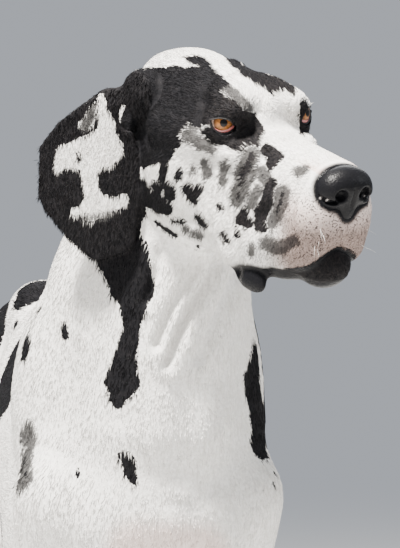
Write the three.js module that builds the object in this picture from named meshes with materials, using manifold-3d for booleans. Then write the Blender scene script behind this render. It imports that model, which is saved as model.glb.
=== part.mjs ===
// A great dane, standing, life size, as a still museum model.
// Millimetres, +Z up. The dog faces +X, its left side is +Y, and its feet stand on z = 0.
// The body is a blend of rounded muscles and bones, given as signed distances. Each zone of it is
// skinned on a grid, thinned to few triangles, and parted from its neighbours by thin flat cuts.

import * as THREE from "three";
import { mergeVertices } from "three/addons/utils/BufferGeometryUtils.js";
import Module from "manifold-3d";

const wasm = await Module();
wasm.setup();

// Driving dimensions

const WITHERS = 820; // height at the shoulder
const CHEST_DEPTH = 0.49 * WITHERS;
const CHEST_WIDTH = 0.315 * WITHERS;
const GAP = 0.3; // between two nodes that touch
const EYE_GAP = 0.35; // wider, as flat facets cut into a round socket

const LEG_OUT = 0.125 * WITHERS; // a front leg's distance from the middle
const HIND_OUT = 0.124 * WITHERS;
const ELBOW_Z = 0.53 * WITHERS;
const CARPUS_Z = 0.25 * WITHERS;
const HOCK_Z = 0.3 * WITHERS;
const FETLOCK_Z = 0.09 * WITHERS;
const SPINE_BEND = 30; // how far the rump swings to the dog's left
const RUMP_X = -560;

const HEAD_AT = [301, 61, 992]; // the point between the eyes
const HEAD_YAW = 22.4; // degrees to the dog's left
const HEAD_PITCH = 14.2; // nose down
const HEAD_ROLL = 6.2; // left side up
const MUZZLE = 160; // from the eye line to the tip of the nose
const SKULL_TOP = 48; // above the eye line
const EYE_OUT = 43.5; // an eye's distance from the middle of the head
const EYE_UP = 5; // an eye above the head's own origin
const EYE_RADIUS = 13.2;
const EYE_TURN = 27; // an eye looks this far outward
const EAR_LENGTH = 184;
const EAR_WIDTH = 120;
const EAR_THICK = 5;

const TOES = 4;
const TOE_PITCH = 22;
const FORE_PAW = 1;
const HIND_PAW = 0.92;

const SIDES = { right: -1, left: 1 };
const bothSides = (make) => Object.values(SIDES).map(make);

// Signed distances. A field is a function of x, y and z.

// An ellipsoid, turned about X, then Y, then Z.
function ball([cx, cy, cz], [rx, ry, rz], turn = [0, 0, 0]) {
  const euler = new THREE.Euler(...turn.map(THREE.MathUtils.degToRad), "ZYX");
  const e = new THREE.Matrix4().makeRotationFromEuler(euler).elements;
  return (x, y, z) => {
    const u = x - cx;
    const v = y - cy;
    const w = z - cz;
    const a = (e[0] * u + e[1] * v + e[2] * w) / rx;
    const b = (e[4] * u + e[5] * v + e[6] * w) / ry;
    const c = (e[8] * u + e[9] * v + e[10] * w) / rz;
    const inner = Math.sqrt(a * a + b * b + c * c);
    const outer = Math.sqrt((a * a) / (rx * rx) + (b * b) / (ry * ry) + (c * c) / (rz * rz));
    return outer > 1e-9 ? (inner * (inner - 1)) / outer : -Math.min(rx, ry, rz);
  };
}

// A tapered bar with round ends, made flat or wide across Y by the factor flat.
function bar([ax, ay, az], ra, [bx, by, bz], rb, flat = 1) {
  const dx = bx - ax;
  const dy = (by - ay) / flat;
  const dz = bz - az;
  const length2 = dx * dx + dy * dy + dz * dz;
  const lean = 1 / (flat * flat) - 1;
  return (x, y, z) => {
    const u = x - ax;
    const v = (y - ay) / flat;
    const w = z - az;
    const t = Math.min(1, Math.max(0, (u * dx + v * dy + w * dz) / length2));
    const p = u - t * dx;
    const q = v - t * dy;
    const r = w - t * dz;
    const far = Math.sqrt(p * p + q * q + r * r) || 1e-9;
    return (far - ra - t * (rb - ra)) / Math.sqrt(1 + (lean * q * q) / (far * far));
  };
}

// Joins two distances with a round fillet of width k.
function join(a, b, k) {
  const h = Math.max(k - Math.abs(a - b), 0) / k;
  return Math.min(a, b) - h * h * k * 0.25;
}

function blend(k, fields) {
  return (x, y, z) => {
    let d = fields[0](x, y, z);
    for (let i = 1; i < fields.length; i++) d = join(d, fields[i](x, y, z), k);
    return d;
  };
}

const carve = (k, field, tool) => (x, y, z) => -join(-field(x, y, z), tool(x, y, z), k);

// Trunk

function spineSwing(x) {
  const back = Math.min(x, 0) / RUMP_X;
  return SPINE_BEND * back * back;
}
const swung = (field) => (x, y, z) => field(x, y - spineSwing(x), z);

function trunkField() {
  const backZ = WITHERS - 14;
  return blend(40, [
    ball([-95, 0, backZ - CHEST_DEPTH / 2], [235, CHEST_WIDTH / 2, CHEST_DEPTH / 2], [0, -2, 0]),
    ball([-270, 0, backZ - 168], [225, CHEST_WIDTH * 0.475, 168], [0, 6, 0]),
    ball([66, 0, 616], [96, 84, 96], [0, 10, 0]),
    bar([0, 0, 782], 34, [-130, 0, 772], 40, 1.15),
    bar([-100, 0, 738], 70, [-440, 0, 730], 72, 1.12),
    bar([-300, 0, 672], 108, [-490, 0, 698], 86, 0.94),
    ball([-570, 0, 716], [118, 88, 90], [0, -14, 0]),
    ...bothSides((s) => ball([-500, s * 46, 776], [62, 34, 36], [0, -12, 0])),
  ]);
}

function tailField() {
  const line = [
    [[-640, 0, 752], 32],
    [[-690, 0, 716], 25],
    [[-730, 0, 600], 18],
    [[-750, 0, 440], 12],
    [[-790, 0, 290], 6],
  ];
  return blend(14, line.slice(1).map(([at, r], i) => bar(line[i][0], line[i][1], at, r)));
}

// Legs; step shifts a foot along X.

function shoulderField(s) {
  return blend(34, [
    bar([-66, s * 60, 772], 34, [48, s * 96, 612], 46, 0.72),
    ball([-6, s * 84, 724], [84, 44, 96], [0, 32, 0]),
    bar([60, s * 93, 606], 50, [-6, s * (LEG_OUT - 2), 478], 45, 0.84),
    ball([-50, s * 96, 556], [62, 34, 88], [0, -18, 0]),
    ball([96, s * 44, 590], [46, 46, 58]),
  ]);
}

function foreLegField(s, step) {
  const out = s * LEG_OUT;
  const wristX = 2 + step;
  return blend(20, [
    bar([-24, out, ELBOW_Z + 6], 38, [wristX - 2, out - s * 3, CARPUS_Z + 60], 25, 0.86),
    bar([-4, out + s * 4, ELBOW_Z - 14], 32, [wristX, out, CARPUS_Z + 96], 21, 0.9),
    ball([-60, out, ELBOW_Z + 8], [19, 19, 26]),
    bar([wristX, out - s * 3, CARPUS_Z + 56], 22, [wristX, out - s * 3, CARPUS_Z - 6], 25.5),
    ball([wristX - 23, out - s * 3, CARPUS_Z - 24], [9, 10, 13]),
    bar([wristX + 1, out - s * 3, CARPUS_Z - 18], 22.5, [wristX + 16, out - s * 2, FETLOCK_Z], 21.5, 1.08),
  ]);
}

function thighField(s, step) {
  return blend(38, [
    bar([-572, s * 60, 700], 88, [-508 - step * 0.3, s * HIND_OUT, 524], 56, 0.66),
    bar([-648, s * 52, 694], 54, [-592 - step * 0.4, s * 92, 486], 42, 0.72),
    ball([-478, s * 82, 596], [40, 32, 88], [0, -12, 0]),
    ball([-494 - step * 0.3, s * HIND_OUT, 502], [32, 29, 38], [0, 24, 0]),
  ]);
}

function hindLegField(s, step) {
  const out = s * HIND_OUT;
  const hockX = -714 - step;
  const heel = [hockX - 30, out - s * 5, HOCK_Z + 40];
  return blend(22, [
    bar([-520 - step * 0.3, out, 486], 40, [hockX, out - s * 5, HOCK_Z + 12], 20, 0.84),
    bar([-588 - step * 0.5, out - s * 3, 456], 30, [-662 - step * 0.8, out - s * 4, 350], 15, 0.86),
    bar([-636 - step * 0.7, out - s * 4, 400], 12, heel, 11),
    ball(heel, [14, 14, 17]),
    ball([hockX, out - s * 5, HOCK_Z + 8], [26, 19.5, 30], [0, 20, 0]),
    bar([hockX - 8, out - s * 5, HOCK_Z], 20, [hockX + 14, out - s * 3, FETLOCK_Z], 19.5, 1.04),
  ]);
}

// A paw of four arched toes under the point where the leg comes down.

function toeRows(ankleX, y, size) {
  return Array.from({ length: TOES }, (_, i) => {
    const off = i - (TOES - 1) / 2;
    const reach = size * (Math.abs(off) < 1 ? 66 : 48);
    return { off, reach, x: ankleX + reach, y: y + off * size * TOE_PITCH };
  });
}

function pawField(ankleX, y, size) {
  const toes = toeRows(ankleX, y, size).map(({ off, x, y: side }) => {
    const knuckle = [x - size * 26, side, size * 36];
    return blend(7 * size, [
      bar([ankleX - size * 4, y + off * size * 12, size * 42], size * 15, knuckle, size * 14.5),
      bar(knuckle, size * 14.5, [x, side + off * size * 1.5, size * 15], size * 12.8),
      ball([x - size * 2, side, size * 8], [size * 15, size * 11, size * 11]),
    ]);
  });
  return blend(5 * size, [
    blend(14 * size, [
      bar([ankleX - size * 3, y, size * 72], size * 22, [ankleX + size * 4, y, size * 40], size * 25, 1.1),
      ball([ankleX - size * 2, y, size * 17], [size * 31, size * 30, size * 22]),
    ]),
    ...toes,
  ]);
}

function clawField(ankleX, y, size) {
  const claws = toeRows(ankleX, y, size).map(({ off, x, y: side }) => {
    const root = [x + size * 4, side + off * size * 1.5, size * 21];
    return bar(root, size * 6, [x + size * 23, side + off * size * 3, size * 7.5], size * 2.4);
  });
  return blend(1, claws);
}

// Head, in its own frame: origin between the eyes, x to the nose, y to its left, z up.

function skullField() {
  return blend(14, [
    blend(30, [
      bar([-114, 0, 0], SKULL_TOP - 2, [-34, 0, -4], SKULL_TOP - 1, 1.08),
      ball([-156, 0, 12], [26, 24, 20]),
      ...bothSides((s) => ball([-66, s * 44, -62], [58, 25, 60], [0, 20, 0])),
    ]),
    ...bothSides((s) => ball([-10, s * 28, 22], [27, 18, 13], [0, 12, s * 16])),
    ...bothSides((s) => bar([20, s * 39, -24], 13, [-86, s * 53, -18], 17)),
    ...bothSides((s) => ball([-2, s * (EYE_OUT - 1), EYE_UP - 1], [18, 17, 17])),
  ]);
}

function muzzleField() {
  return blend(16, [
    ...bothSides((s) => bar([2, s * 11, -28], 25, [MUZZLE - 34, s * 10, -30], 22)),
    ...bothSides((s) => bar([4, s * 24, -54], 28, [MUZZLE - 38, s * 17, -54], 25)),
    ...bothSides((s) => bar([0, s * 40, -90], 30, [60, s * 30, -88], 26, 0.6)),
    ...bothSides((s) => bar([32, s * 34, -112], 26, [MUZZLE - 46, s * 24, -86], 25, 0.68)),
    ...bothSides((s) => ball([MUZZLE - 32, s * 13, -64], [21, 18, 26])),
  ]);
}

function jawField() {
  return blend(14, [
    bar([-48, 0, -106], 30, [84, 0, -112], 20, 1.25),
    ...bothSides((s) => bar([-56, s * 38, -104], 22, [80, s * 20, -114], 17)),
    ball([MUZZLE - 44, 0, -108], [28, 26, 25], [0, -8, 0]),
    ...bothSides((s) => ball([52, s * 38, -136], [25, 8, 13], [0, 8, 0])),
  ]);
}

const throatField = () =>
  blend(24, [
    ball([-112, 0, -64], [58, 52, 76]),
    ball([-52, 0, -108], [50, 44, 34]),
  ]);

const headTurn = new THREE.Matrix4().makeRotationFromEuler(
  new THREE.Euler(...[HEAD_ROLL, HEAD_PITCH, HEAD_YAW].map(THREE.MathUtils.degToRad), "ZYX"),
);
const headMatrix = headTurn.clone().setPosition(...HEAD_AT);

function inHead(field) {
  const e = headTurn.elements;
  const [hx, hy, hz] = HEAD_AT;
  return (x, y, z) => {
    const u = x - hx;
    const v = y - hy;
    const w = z - hz;
    return field(
      e[0] * u + e[1] * v + e[2] * w,
      e[4] * u + e[5] * v + e[6] * w,
      e[8] * u + e[9] * v + e[10] * w,
    );
  };
}

function neckField() {
  return blend(40, [
    bar([138, 0, 984], 60, [106, 0, 905], 78, 0.88),
    bar([106, 0, 905], 76, [58, 0, 815], 106, 0.88),
    bar([58, 0, 815], 104, [16, 0, 700], 130, 0.95),
    bar([140, 0, 850], 44, [122, 0, 690], 58, 1.15),
  ]);
}

const noseField = () =>
  carve(
    3,
    blend(9, [
      ball([MUZZLE - 17, 0, -24], [18, 25, 17], [0, 14, 0]),
      ...bothSides((s) => ball([MUZZLE - 20, s * 15, -32], [17, 13, 15], [0, 0, s * 8])),
      ball([MUZZLE - 15, 0, -44], [10, 9, 15]),
    ]),
    blend(3, [
      ...bothSides((s) => ball([MUZZLE - 2, s * 13, -31], [10, 6.5, 6])),
      ...bothSides((s) => ball([MUZZLE - 12, s * 23, -36], [12, 7, 2.6], [0, 14, s * -34])),
    ]),
  );

// Ears. The flap is a thin sheet in a frame of its own: u down from the root, v to the rear edge.

const EAR_ROOT = new THREE.Vector3(-126, 62, 18);
const EAR_ACROSS = new THREE.Vector3(-0.69, 0.71, -0.1).normalize();
const EAR_DOWN = new THREE.Vector3(0.05, 0.12, -1).projectOnPlane(EAR_ACROSS).normalize();
const EAR_FACE = EAR_DOWN.clone().cross(EAR_ACROSS);
const EAR_ROUND = 20;
const EAR_OUTLINE = [
  [0.15, 0.24],
  [0.53, 0.79],
  [0.63, 0.78],
  [0.875, 0.36],
  [0.83, 0.22],
  [0.4, 0.22],
].map(([u, v]) => [u * EAR_LENGTH, v * EAR_WIDTH]);

function outlineDistance(u, v) {
  let best = Infinity;
  let inside = false;
  EAR_OUTLINE.forEach(([au, av], i) => {
    const [bu, bv] = EAR_OUTLINE[(i + 1) % EAR_OUTLINE.length];
    const eu = bu - au;
    const ev = bv - av;
    const t = Math.min(1, Math.max(0, ((u - au) * eu + (v - av) * ev) / (eu * eu + ev * ev)));
    best = Math.min(best, Math.hypot(u - au - t * eu, v - av - t * ev));
    if (av > v !== bv > v && u < au + ((v - av) / (bv - av)) * eu) inside = !inside;
  });
  return (inside ? -best : best) - EAR_ROUND;
}

function earField(s) {
  const base = ball([-128, 52, 2], [25, 19, 26]);
  const cup = ball([-136, 62, -20], [12, 12, 20]);
  const flap = (x, y, z) => {
    const p = new THREE.Vector3(x, y, z).sub(EAR_ROOT);
    const u = p.dot(EAR_DOWN);
    const v = p.dot(EAR_ACROSS);
    const curl = 9 * ((v - 0.42 * EAR_WIDTH) / (0.5 * EAR_WIDTH)) ** 2;
    const fold = 16 * Math.max(0, 1 - u / 34) ** 2;
    const sheet = Math.abs(p.dot(EAR_FACE) + curl + fold) - EAR_THICK / 2;
    return -join(-outlineDistance(u, v), -sheet, 3);
  };
  const field = carve(4, blend(12, [flap, base]), cup);
  return (x, y, z) => field(x, s * y, z);
}

// Zones of the body, each a field that holds all that shapes it there

const trunk = swung(trunkField());
const neck = neckField();
const shoulders = bothSides(shoulderField);
const STEP = { right: 0, left: 16 };
const HIND_STEP = { right: 0, left: 34 };
const thighs = Object.entries(SIDES).map(([side, s]) => swung(thighField(s, HIND_STEP[side])));
const foreLegs = Object.entries(SIDES).map(([side, s]) => foreLegField(s, STEP[side]));
const hindLegs = Object.entries(SIDES).map(([side, s]) => swung(hindLegField(s, HIND_STEP[side])));
const trunkZone = blend(26, [trunk, neck, ...shoulders, ...thighs, ...foreLegs, ...hindLegs]);
const headZone = blend(30, [neck, inHead(blend(14, [skullField(), muzzleField(), throatField()]))]);

// Skins a field with a closed mesh: each cell of a grid is split into six tetrahedra, and the
// surface crosses each of them in one or two triangles.

const CUBE_TETS = [[0, 1, 3, 7], [0, 3, 2, 7], [0, 2, 6, 7], [0, 6, 4, 7], [0, 4, 5, 7], [0, 5, 1, 7]];
const BLOCK = 5; // samples along a block that is skipped where the surface is far

function evenOrders() {
  const orders = [];
  for (let a = 0; a < 4; a++)
    for (let b = 0; b < 4; b++)
      for (let c = 0; c < 4; c++) {
        const order = [a, b, c, 6 - a - b - c];
        if (new Set(order).size < 4 || order[3] < 0 || order[3] > 3) continue;
        let swaps = 0;
        for (let i = 0; i < 4; i++) for (let j = i + 1; j < 4; j++) if (order[i] > order[j]) swaps++;
        if (swaps % 2 === 0) orders.push(order);
      }
  return orders;
}
const EVEN = evenOrders();
// For each set of inside corners, the corners in an even order with the inside ones first.
const TET_ORDER = Array.from({ length: 16 }, (_, mask) => {
  const count = [0, 1, 2, 3].filter((i) => (mask >> i) & 1).length;
  const insideFirst = (order) => order.every((v, i) => ((mask >> v) & 1) === (i < count ? 1 : 0));
  return { count, order: EVEN.find(insideFirst) };
});

function sampleGrid(field, low, n, cell) {
  const value = new Float32Array(n[0] * n[1] * n[2]);
  const reach = BLOCK * cell * 1.5;
  const half = (BLOCK - 1) / 2;
  for (let k0 = 0; k0 < n[2]; k0 += BLOCK)
    for (let j0 = 0; j0 < n[1]; j0 += BLOCK)
      for (let i0 = 0; i0 < n[0]; i0 += BLOCK) {
        const [x, y, z] = [i0, j0, k0].map((v, m) => low[m] + (v + half) * cell);
        const middle = field(x, y, z);
        const far = Math.abs(middle) > reach;
        for (let k = k0; k < Math.min(k0 + BLOCK, n[2]); k++)
          for (let j = j0; j < Math.min(j0 + BLOCK, n[1]); j++)
            for (let i = i0; i < Math.min(i0 + BLOCK, n[0]); i++) {
              const rim = i * j * k === 0 || i === n[0] - 1 || j === n[1] - 1 || k === n[2] - 1;
              const d = far ? middle : field(low[0] + i * cell, low[1] + j * cell, low[2] + k * cell);
              value[(k * n[1] + j) * n[0] + i] = rim ? Math.max(d, cell / 2) : d;
            }
      }
  return value;
}

function skin(field, low, high, cell) {
  const n = low.map((v, i) => Math.ceil((high[i] - v) / cell) + 1);
  const value = sampleGrid(field, low, n, cell);
  const layer = n[0] * n[1];
  const offset = Array.from({ length: 8 }, (_, c) => (c & 1) + ((c >> 1) & 1) * n[0] + (c >> 2) * layer);
  const vertexOf = new Map();
  const points = [];
  const place = (at) => [at % n[0], Math.floor(at / n[0]) % n[1], Math.floor(at / layer)];
  const crossing = (base, ca, cb) => {
    const [a, b] = ca < cb ? [ca, cb] : [cb, ca];
    const from = base + offset[a];
    const to = base + offset[b];
    const key = from * 8 + (b - a);
    if (!vertexOf.has(key)) {
      const t = Math.min(0.94, Math.max(0.06, value[from] / (value[from] - value[to])));
      const p = place(from);
      const q = place(to);
      vertexOf.set(key, points.length / 3);
      for (let m = 0; m < 3; m++) points.push(low[m] + (p[m] + t * (q[m] - p[m])) * cell);
    }
    return vertexOf.get(key);
  };
  const triangles = [];
  for (let k = 0; k < n[2] - 1; k++)
    for (let j = 0; j < n[1] - 1; j++)
      for (let i = 0; i < n[0] - 1; i++) {
        const base = (k * n[1] + j) * n[0] + i;
        let inside = 0;
        for (let c = 0; c < 8; c++) if (value[base + offset[c]] < 0) inside |= 1 << c;
        if (inside === 0 || inside === 255) continue;
        for (const tet of CUBE_TETS) {
          let mask = 0;
          for (let c = 0; c < 4; c++) if ((inside >> tet[c]) & 1) mask |= 1 << c;
          if (mask === 0 || mask === 15) continue;
          const { count, order } = TET_ORDER[mask];
          const [a, b, c, d] = order.map((v) => tet[v]);
          if (count === 1) triangles.push(crossing(base, a, b), crossing(base, a, c), crossing(base, a, d));
          if (count === 3) triangles.push(crossing(base, d, a), crossing(base, d, b), crossing(base, d, c));
          if (count !== 2) continue;
          const ends = [[a, c], [a, d], [b, d], [b, c]];
          const ring = ends.map(([from, to]) => crossing(base, from, to));
          triangles.push(ring[0], ring[1], ring[2], ring[0], ring[2], ring[3]);
        }
      }
  return { points: new Float64Array(points), triangles: new Int32Array(triangles) };
}

// Thins a mesh to a number of triangles by joining the ends of its least needed edges.
function thin({ points, triangles }, target) {
  const quadric = new Float64Array((points.length / 3) * 10);
  const facesOf = Array.from({ length: points.length / 3 }, () => new Set());
  const alive = new Uint8Array(triangles.length / 3).fill(1);
  const corner = (face, i) => triangles[face * 3 + i];
  const normalOf = (face, moved = -1, to = null) => {
    const p = [0, 1, 2].map((i) => {
      const v = corner(face, i);
      return v === moved ? to : [points[v * 3], points[v * 3 + 1], points[v * 3 + 2]];
    });
    const [ax, ay, az] = p[1].map((c, i) => c - p[0][i]);
    const [bx, by, bz] = p[2].map((c, i) => c - p[0][i]);
    return [ay * bz - az * by, az * bx - ax * bz, ax * by - ay * bx];
  };
  for (let face = 0; face < alive.length; face++) {
    const n = normalOf(face);
    const size = Math.hypot(...n) || 1e-12;
    const [a, b, c] = n.map((v) => v / size);
    const v0 = corner(face, 0) * 3;
    const d = -(a * points[v0] + b * points[v0 + 1] + c * points[v0 + 2]);
    const q = [a * a, a * b, a * c, a * d, b * b, b * c, b * d, c * c, c * d, d * d];
    for (let i = 0; i < 3; i++) {
      const v = corner(face, i);
      facesOf[v].add(face);
      for (let m = 0; m < 10; m++) quadric[v * 10 + m] += q[m] * size;
    }
  }
  const sumOf = (a, b) => Array.from({ length: 10 }, (_, m) => quadric[a * 10 + m] + quadric[b * 10 + m]);
  const costAt = (q, [x, y, z]) =>
    q[0] * x * x + 2 * q[1] * x * y + 2 * q[2] * x * z + 2 * q[3] * x + q[4] * y * y +
    2 * q[5] * y * z + 2 * q[6] * y + q[7] * z * z + 2 * q[8] * z + q[9];
  const best = (a, b) => {
    const q = sumOf(a, b);
    const middle = [0, 1, 2].map((i) => (points[a * 3 + i] + points[b * 3 + i]) / 2);
    const matrix = new THREE.Matrix3().set(q[0], q[1], q[2], q[1], q[4], q[5], q[2], q[5], q[7]);
    const span = Math.hypot(...[0, 1, 2].map((i) => points[a * 3 + i] - points[b * 3 + i]));
    let at = middle;
    const weight = (q[0] + q[4] + q[7]) / 3;
    if (Math.abs(matrix.determinant()) > 1e-4 * weight ** 3) {
      const solved = new THREE.Vector3(-q[3], -q[6], -q[8]).applyMatrix3(matrix.invert()).toArray();
      if (Math.hypot(...solved.map((c, i) => c - middle[i])) < span) at = solved;
    }
    return { at, cost: costAt(q, at) + 1e-3 * weight * span * span };
  };
  const stamp = new Int32Array(facesOf.length);
  const heap = [];
  const less = (i, j) => heap[i].cost < heap[j].cost;
  const swap = (i, j) => ([heap[i], heap[j]] = [heap[j], heap[i]]);
  const push = (a, b) => {
    heap.push({ a, b, ...best(a, b), stampA: stamp[a], stampB: stamp[b] });
    for (let i = heap.length - 1; i > 0 && less(i, (i - 1) >> 1); i = (i - 1) >> 1) swap(i, (i - 1) >> 1);
  };
  const pop = () => {
    swap(0, heap.length - 1);
    const top = heap.pop();
    for (let i = 0; ; ) {
      let low = i;
      for (const child of [2 * i + 1, 2 * i + 2]) if (child < heap.length && less(child, low)) low = child;
      if (low === i) return top;
      swap(i, low);
      i = low;
    }
  };
  const neighbours = (v) => {
    const found = new Set();
    for (const face of facesOf[v]) for (let i = 0; i < 3; i++) found.add(corner(face, i));
    found.delete(v);
    return found;
  };
  for (let face = 0; face < alive.length; face++)
    for (let i = 0; i < 3; i++) {
      const a = corner(face, i);
      const b = corner(face, (i + 1) % 3);
      if (a < b) push(a, b);
    }
  let left = alive.length;
  while (left > target && heap.length) {
    const { a, b, at, stampA, stampB } = pop();
    if (stamp[a] !== stampA || stamp[b] !== stampB) continue;
    const near = neighbours(a);
    const shared = [...neighbours(b)].filter((v) => near.has(v));
    if (shared.length !== 2) continue;
    const turns = [a, b].some((v) =>
      [...facesOf[v]].some((face) => {
        if (facesOf[a].has(face) && facesOf[b].has(face)) return false;
        const before = normalOf(face);
        const after = normalOf(face, v, at);
        const dot = before[0] * after[0] + before[1] * after[1] + before[2] * after[2];
        return dot < 0.3 * Math.hypot(...before) * Math.hypot(...after);
      }),
    );
    if (turns) continue;
    for (const face of [...facesOf[b]]) {
      if (facesOf[a].has(face)) {
        alive[face] = 0;
        left--;
        for (let i = 0; i < 3; i++) facesOf[corner(face, i)].delete(face);
      } else {
        for (let i = 0; i < 3; i++) if (corner(face, i) === b) triangles[face * 3 + i] = a;
        facesOf[a].add(face);
      }
    }
    points.set(at, a * 3);
    for (let m = 0; m < 10; m++) quadric[a * 10 + m] += quadric[b * 10 + m];
    stamp[b] = -1;
    stamp[a]++;
    for (const v of neighbours(a)) push(a, v);
  }
  const kept = [];
  for (let face = 0; face < alive.length; face++)
    if (alive[face]) kept.push(corner(face, 0), corner(face, 1), corner(face, 2));
  return geometryFrom(points, kept);
}

function geometryFrom(points, triangles) {
  const used = new Map();
  const positions = [];
  const index = Array.from(triangles, (v) => {
    if (!used.has(v)) {
      used.set(v, used.size);
      positions.push(points[v * 3], points[v * 3 + 1], points[v * 3 + 2]);
    }
    return used.get(v);
  });
  const geometry = new THREE.BufferGeometry();
  geometry.setAttribute("position", new THREE.Float32BufferAttribute(positions, 3));
  geometry.setIndex(index);
  return geometry;
}

// Solids

function solid(geometry) {
  const bare = geometry.clone();
  bare.deleteAttribute("normal");
  bare.deleteAttribute("uv");
  const merged = geometry.hasAttribute("uv") ? mergeVertices(bare, 1e-4) : bare;
  return new wasm.Manifold(
    new wasm.Mesh({
      numProp: 3,
      vertProperties: new Float32Array(merged.attributes.position.array),
      triVerts: new Uint32Array(merged.index.array),
    }),
  );
}

function geometryOf(body) {
  const { numProp, vertProperties, triVerts } = body.getMesh();
  const positions = new Float32Array((vertProperties.length / numProp) * 3);
  for (let i = 0; i < positions.length; i++) {
    positions[i] = vertProperties[Math.floor(i / 3) * numProp + (i % 3)];
  }
  return geometryFrom(positions, triVerts);
}

// The largest closed surface of a solid.
function largest(body) {
  const shells = body.decompose();
  return shells.reduce((a, b) => (a.volume() > b.volume() ? a : b));
}

// The same solid with its surface moved outward.
function swell(body, by = GAP) {
  const geometry = geometryOf(body);
  geometry.computeVertexNormals();
  const { position, normal } = geometry.attributes;
  for (let i = 0; i < position.array.length; i++) position.array[i] += normal.array[i] * by;
  return solid(geometry);
}

const zone = (field, low, high, cell, target) => solid(thin(skin(field, low, high, cell), target));

const REACH = 3000;

// All space on the side of a plane to which normal points, less half a gap.
function beyond(point, normal) {
  const n = new THREE.Vector3(...normal).normalize();
  const geometry = new THREE.BoxGeometry(REACH, REACH, REACH);
  geometry.translate(0, 0, REACH / 2 + GAP / 2);
  geometry.applyQuaternion(new THREE.Quaternion().setFromUnitVectors(new THREE.Vector3(0, 0, 1), n));
  geometry.translate(...point);
  return solid(geometry);
}
const opposite = (normal) => normal.map((v) => -v);

// Cuts

const HEAD_CUT = [[150, 0, 942], [0.834, 0.177, 0.522]];
const NECK_CUT = [[72, 0, 764], [0.7, 0, 0.714]];
const FORE_CUTS = [ELBOW_Z + 26, CARPUS_Z + 34, FETLOCK_Z + 4];
const HIND_CUTS = [0.56 * WITHERS, HOCK_Z + 46, FETLOCK_Z + 4];

const trunkSolid = zone(trunkZone, [-740, -210, 380], [260, 240, 900], 10, 2200);
const headSolid = zone(headZone, [60, -90, 800], [480, 220, 1080], 3.6, 2300);
const neckSolid = zone(trunkZone, [-120, -190, 640], [330, 190, 1080], 9, 900);

const nodes = new Map();

const behindHead = beyond(HEAD_CUT[0], opposite(HEAD_CUT[1]));
nodes.set("neck", neckSolid.intersect(behindHead).intersect(beyond(...NECK_CUT)));

// Eyes sit in round sockets behind almond openings between the lids.
const LID_HALF = 13;
const LID_UP = 7;
const LID_DOWN = 9;

function lidArc(sag) {
  const radius = (LID_HALF ** 2 + sag ** 2) / (2 * sag);
  return { radius, half: Math.asin(LID_HALF / radius) };
}

function lidOpening() {
  const up = lidArc(LID_UP);
  const down = lidArc(LID_DOWN);
  const shape = new THREE.Shape();
  const quarter = Math.PI / 2;
  shape.absarc(0, LID_UP - up.radius, up.radius, quarter - up.half, quarter + up.half);
  shape.absarc(0, down.radius - LID_DOWN, down.radius, -quarter - down.half, -quarter + down.half);
  return new THREE.ExtrudeGeometry(shape, { depth: 30, bevelEnabled: false, curveSegments: 8 });
}

function eyePlace(s) {
  const gaze = new THREE.Matrix4().makeRotationZ(THREE.MathUtils.degToRad(s * EYE_TURN));
  const forward = new THREE.Matrix4().makeBasis(
    new THREE.Vector3(0, 1, 0),
    new THREE.Vector3(0, 0, 1),
    new THREE.Vector3(1, 0, 0),
  );
  const place = new THREE.Matrix4().makeTranslation(-2, s * EYE_OUT, EYE_UP);
  return headMatrix.clone().multiply(place).multiply(gaze).multiply(forward);
}

const eyeball = (radius, place) => solid(new THREE.SphereGeometry(radius, 14, 10).applyMatrix4(place));
let headLeft = headSolid.intersect(beyond(...HEAD_CUT));
for (const [side, s] of Object.entries(SIDES)) {
  const place = eyePlace(s);
  nodes.set(`eye_${side}`, eyeball(EYE_RADIUS, place));
  headLeft = headLeft
    .subtract(eyeball(EYE_RADIUS + EYE_GAP, place))
    .subtract(solid(lidOpening().applyMatrix4(place)));
}

// The nose, the lower jaw and the ears meet the head face to face.

function headPiece(field, low, high, cell, target) {
  const mesh = thin(skin(field, low, high, cell), target);
  return solid(mesh.applyMatrix4(headMatrix));
}

const nose = headPiece(noseField(), [110, -36, -70], [170, 36, 4], 2, 420);
nodes.set("nose", nose);
headLeft = largest(headLeft.subtract(swell(nose)));
nodes.set("head", headLeft);
const swollenHead = swell(headLeft);
const swollenNeck = swell(nodes.get("neck"));
const jawSolid = headPiece(jawField(), [-96, -76, -172], [160, 76, -60], 3.6, 640);
const clearOfHead = (body) => largest(body.subtract(swollenHead).subtract(swollenNeck));
nodes.set("lower_jaw", clearOfHead(jawSolid.subtract(swell(nose))));
for (const [side, s] of Object.entries(SIDES)) {
  const [near, far] = [20, 210].map((v) => s * v).sort((a, b) => a - b);
  const ear = headPiece(earField(s), [-250, near, -170], [-70, far, 50], 2.6, 520);
  nodes.set(`ear_${side}`, clearOfHead(ear));
}

// Legs leave the trunk by boxes and are parted across.

function box(low, high, grow = 0) {
  const size = high.map((v, i) => v - low[i] + grow * 2);
  const geometry = new THREE.BoxGeometry(...size);
  geometry.translate(...low.map((v, i) => (v + high[i]) / 2));
  return solid(geometry);
}

function sideBox(s, [x0, y0, z0], [x1, y1, z1], grow = 0) {
  const [low, high] = [s * y0, s * y1].sort((a, b) => a - b);
  return box([x0, low, z0], [x1, high, z1], grow);
}

const FORE_BOXES = [
  [[-112, 84, 440], [104, 260, 776]],
  [[-112, 62, -20], [104, 260, 460]],
];
const HIND_BOXES = [
  [[-760, 62, 560], [-452, 260, 782]],
  [[-860, 3, -20], [-452, 260, 592]],
];
const legBox = (s, boxes, grow) => boxes.map((b) => sideBox(s, ...b, grow)).reduce((a, b) => a.add(b));

const behindNeck = beyond(NECK_CUT[0], opposite(NECK_CUT[1]));
let trunkLeft = trunkSolid.intersect(behindNeck);
const FLOOR = box([-REACH, -REACH, -REACH], [REACH, REACH, 0]);

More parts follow.
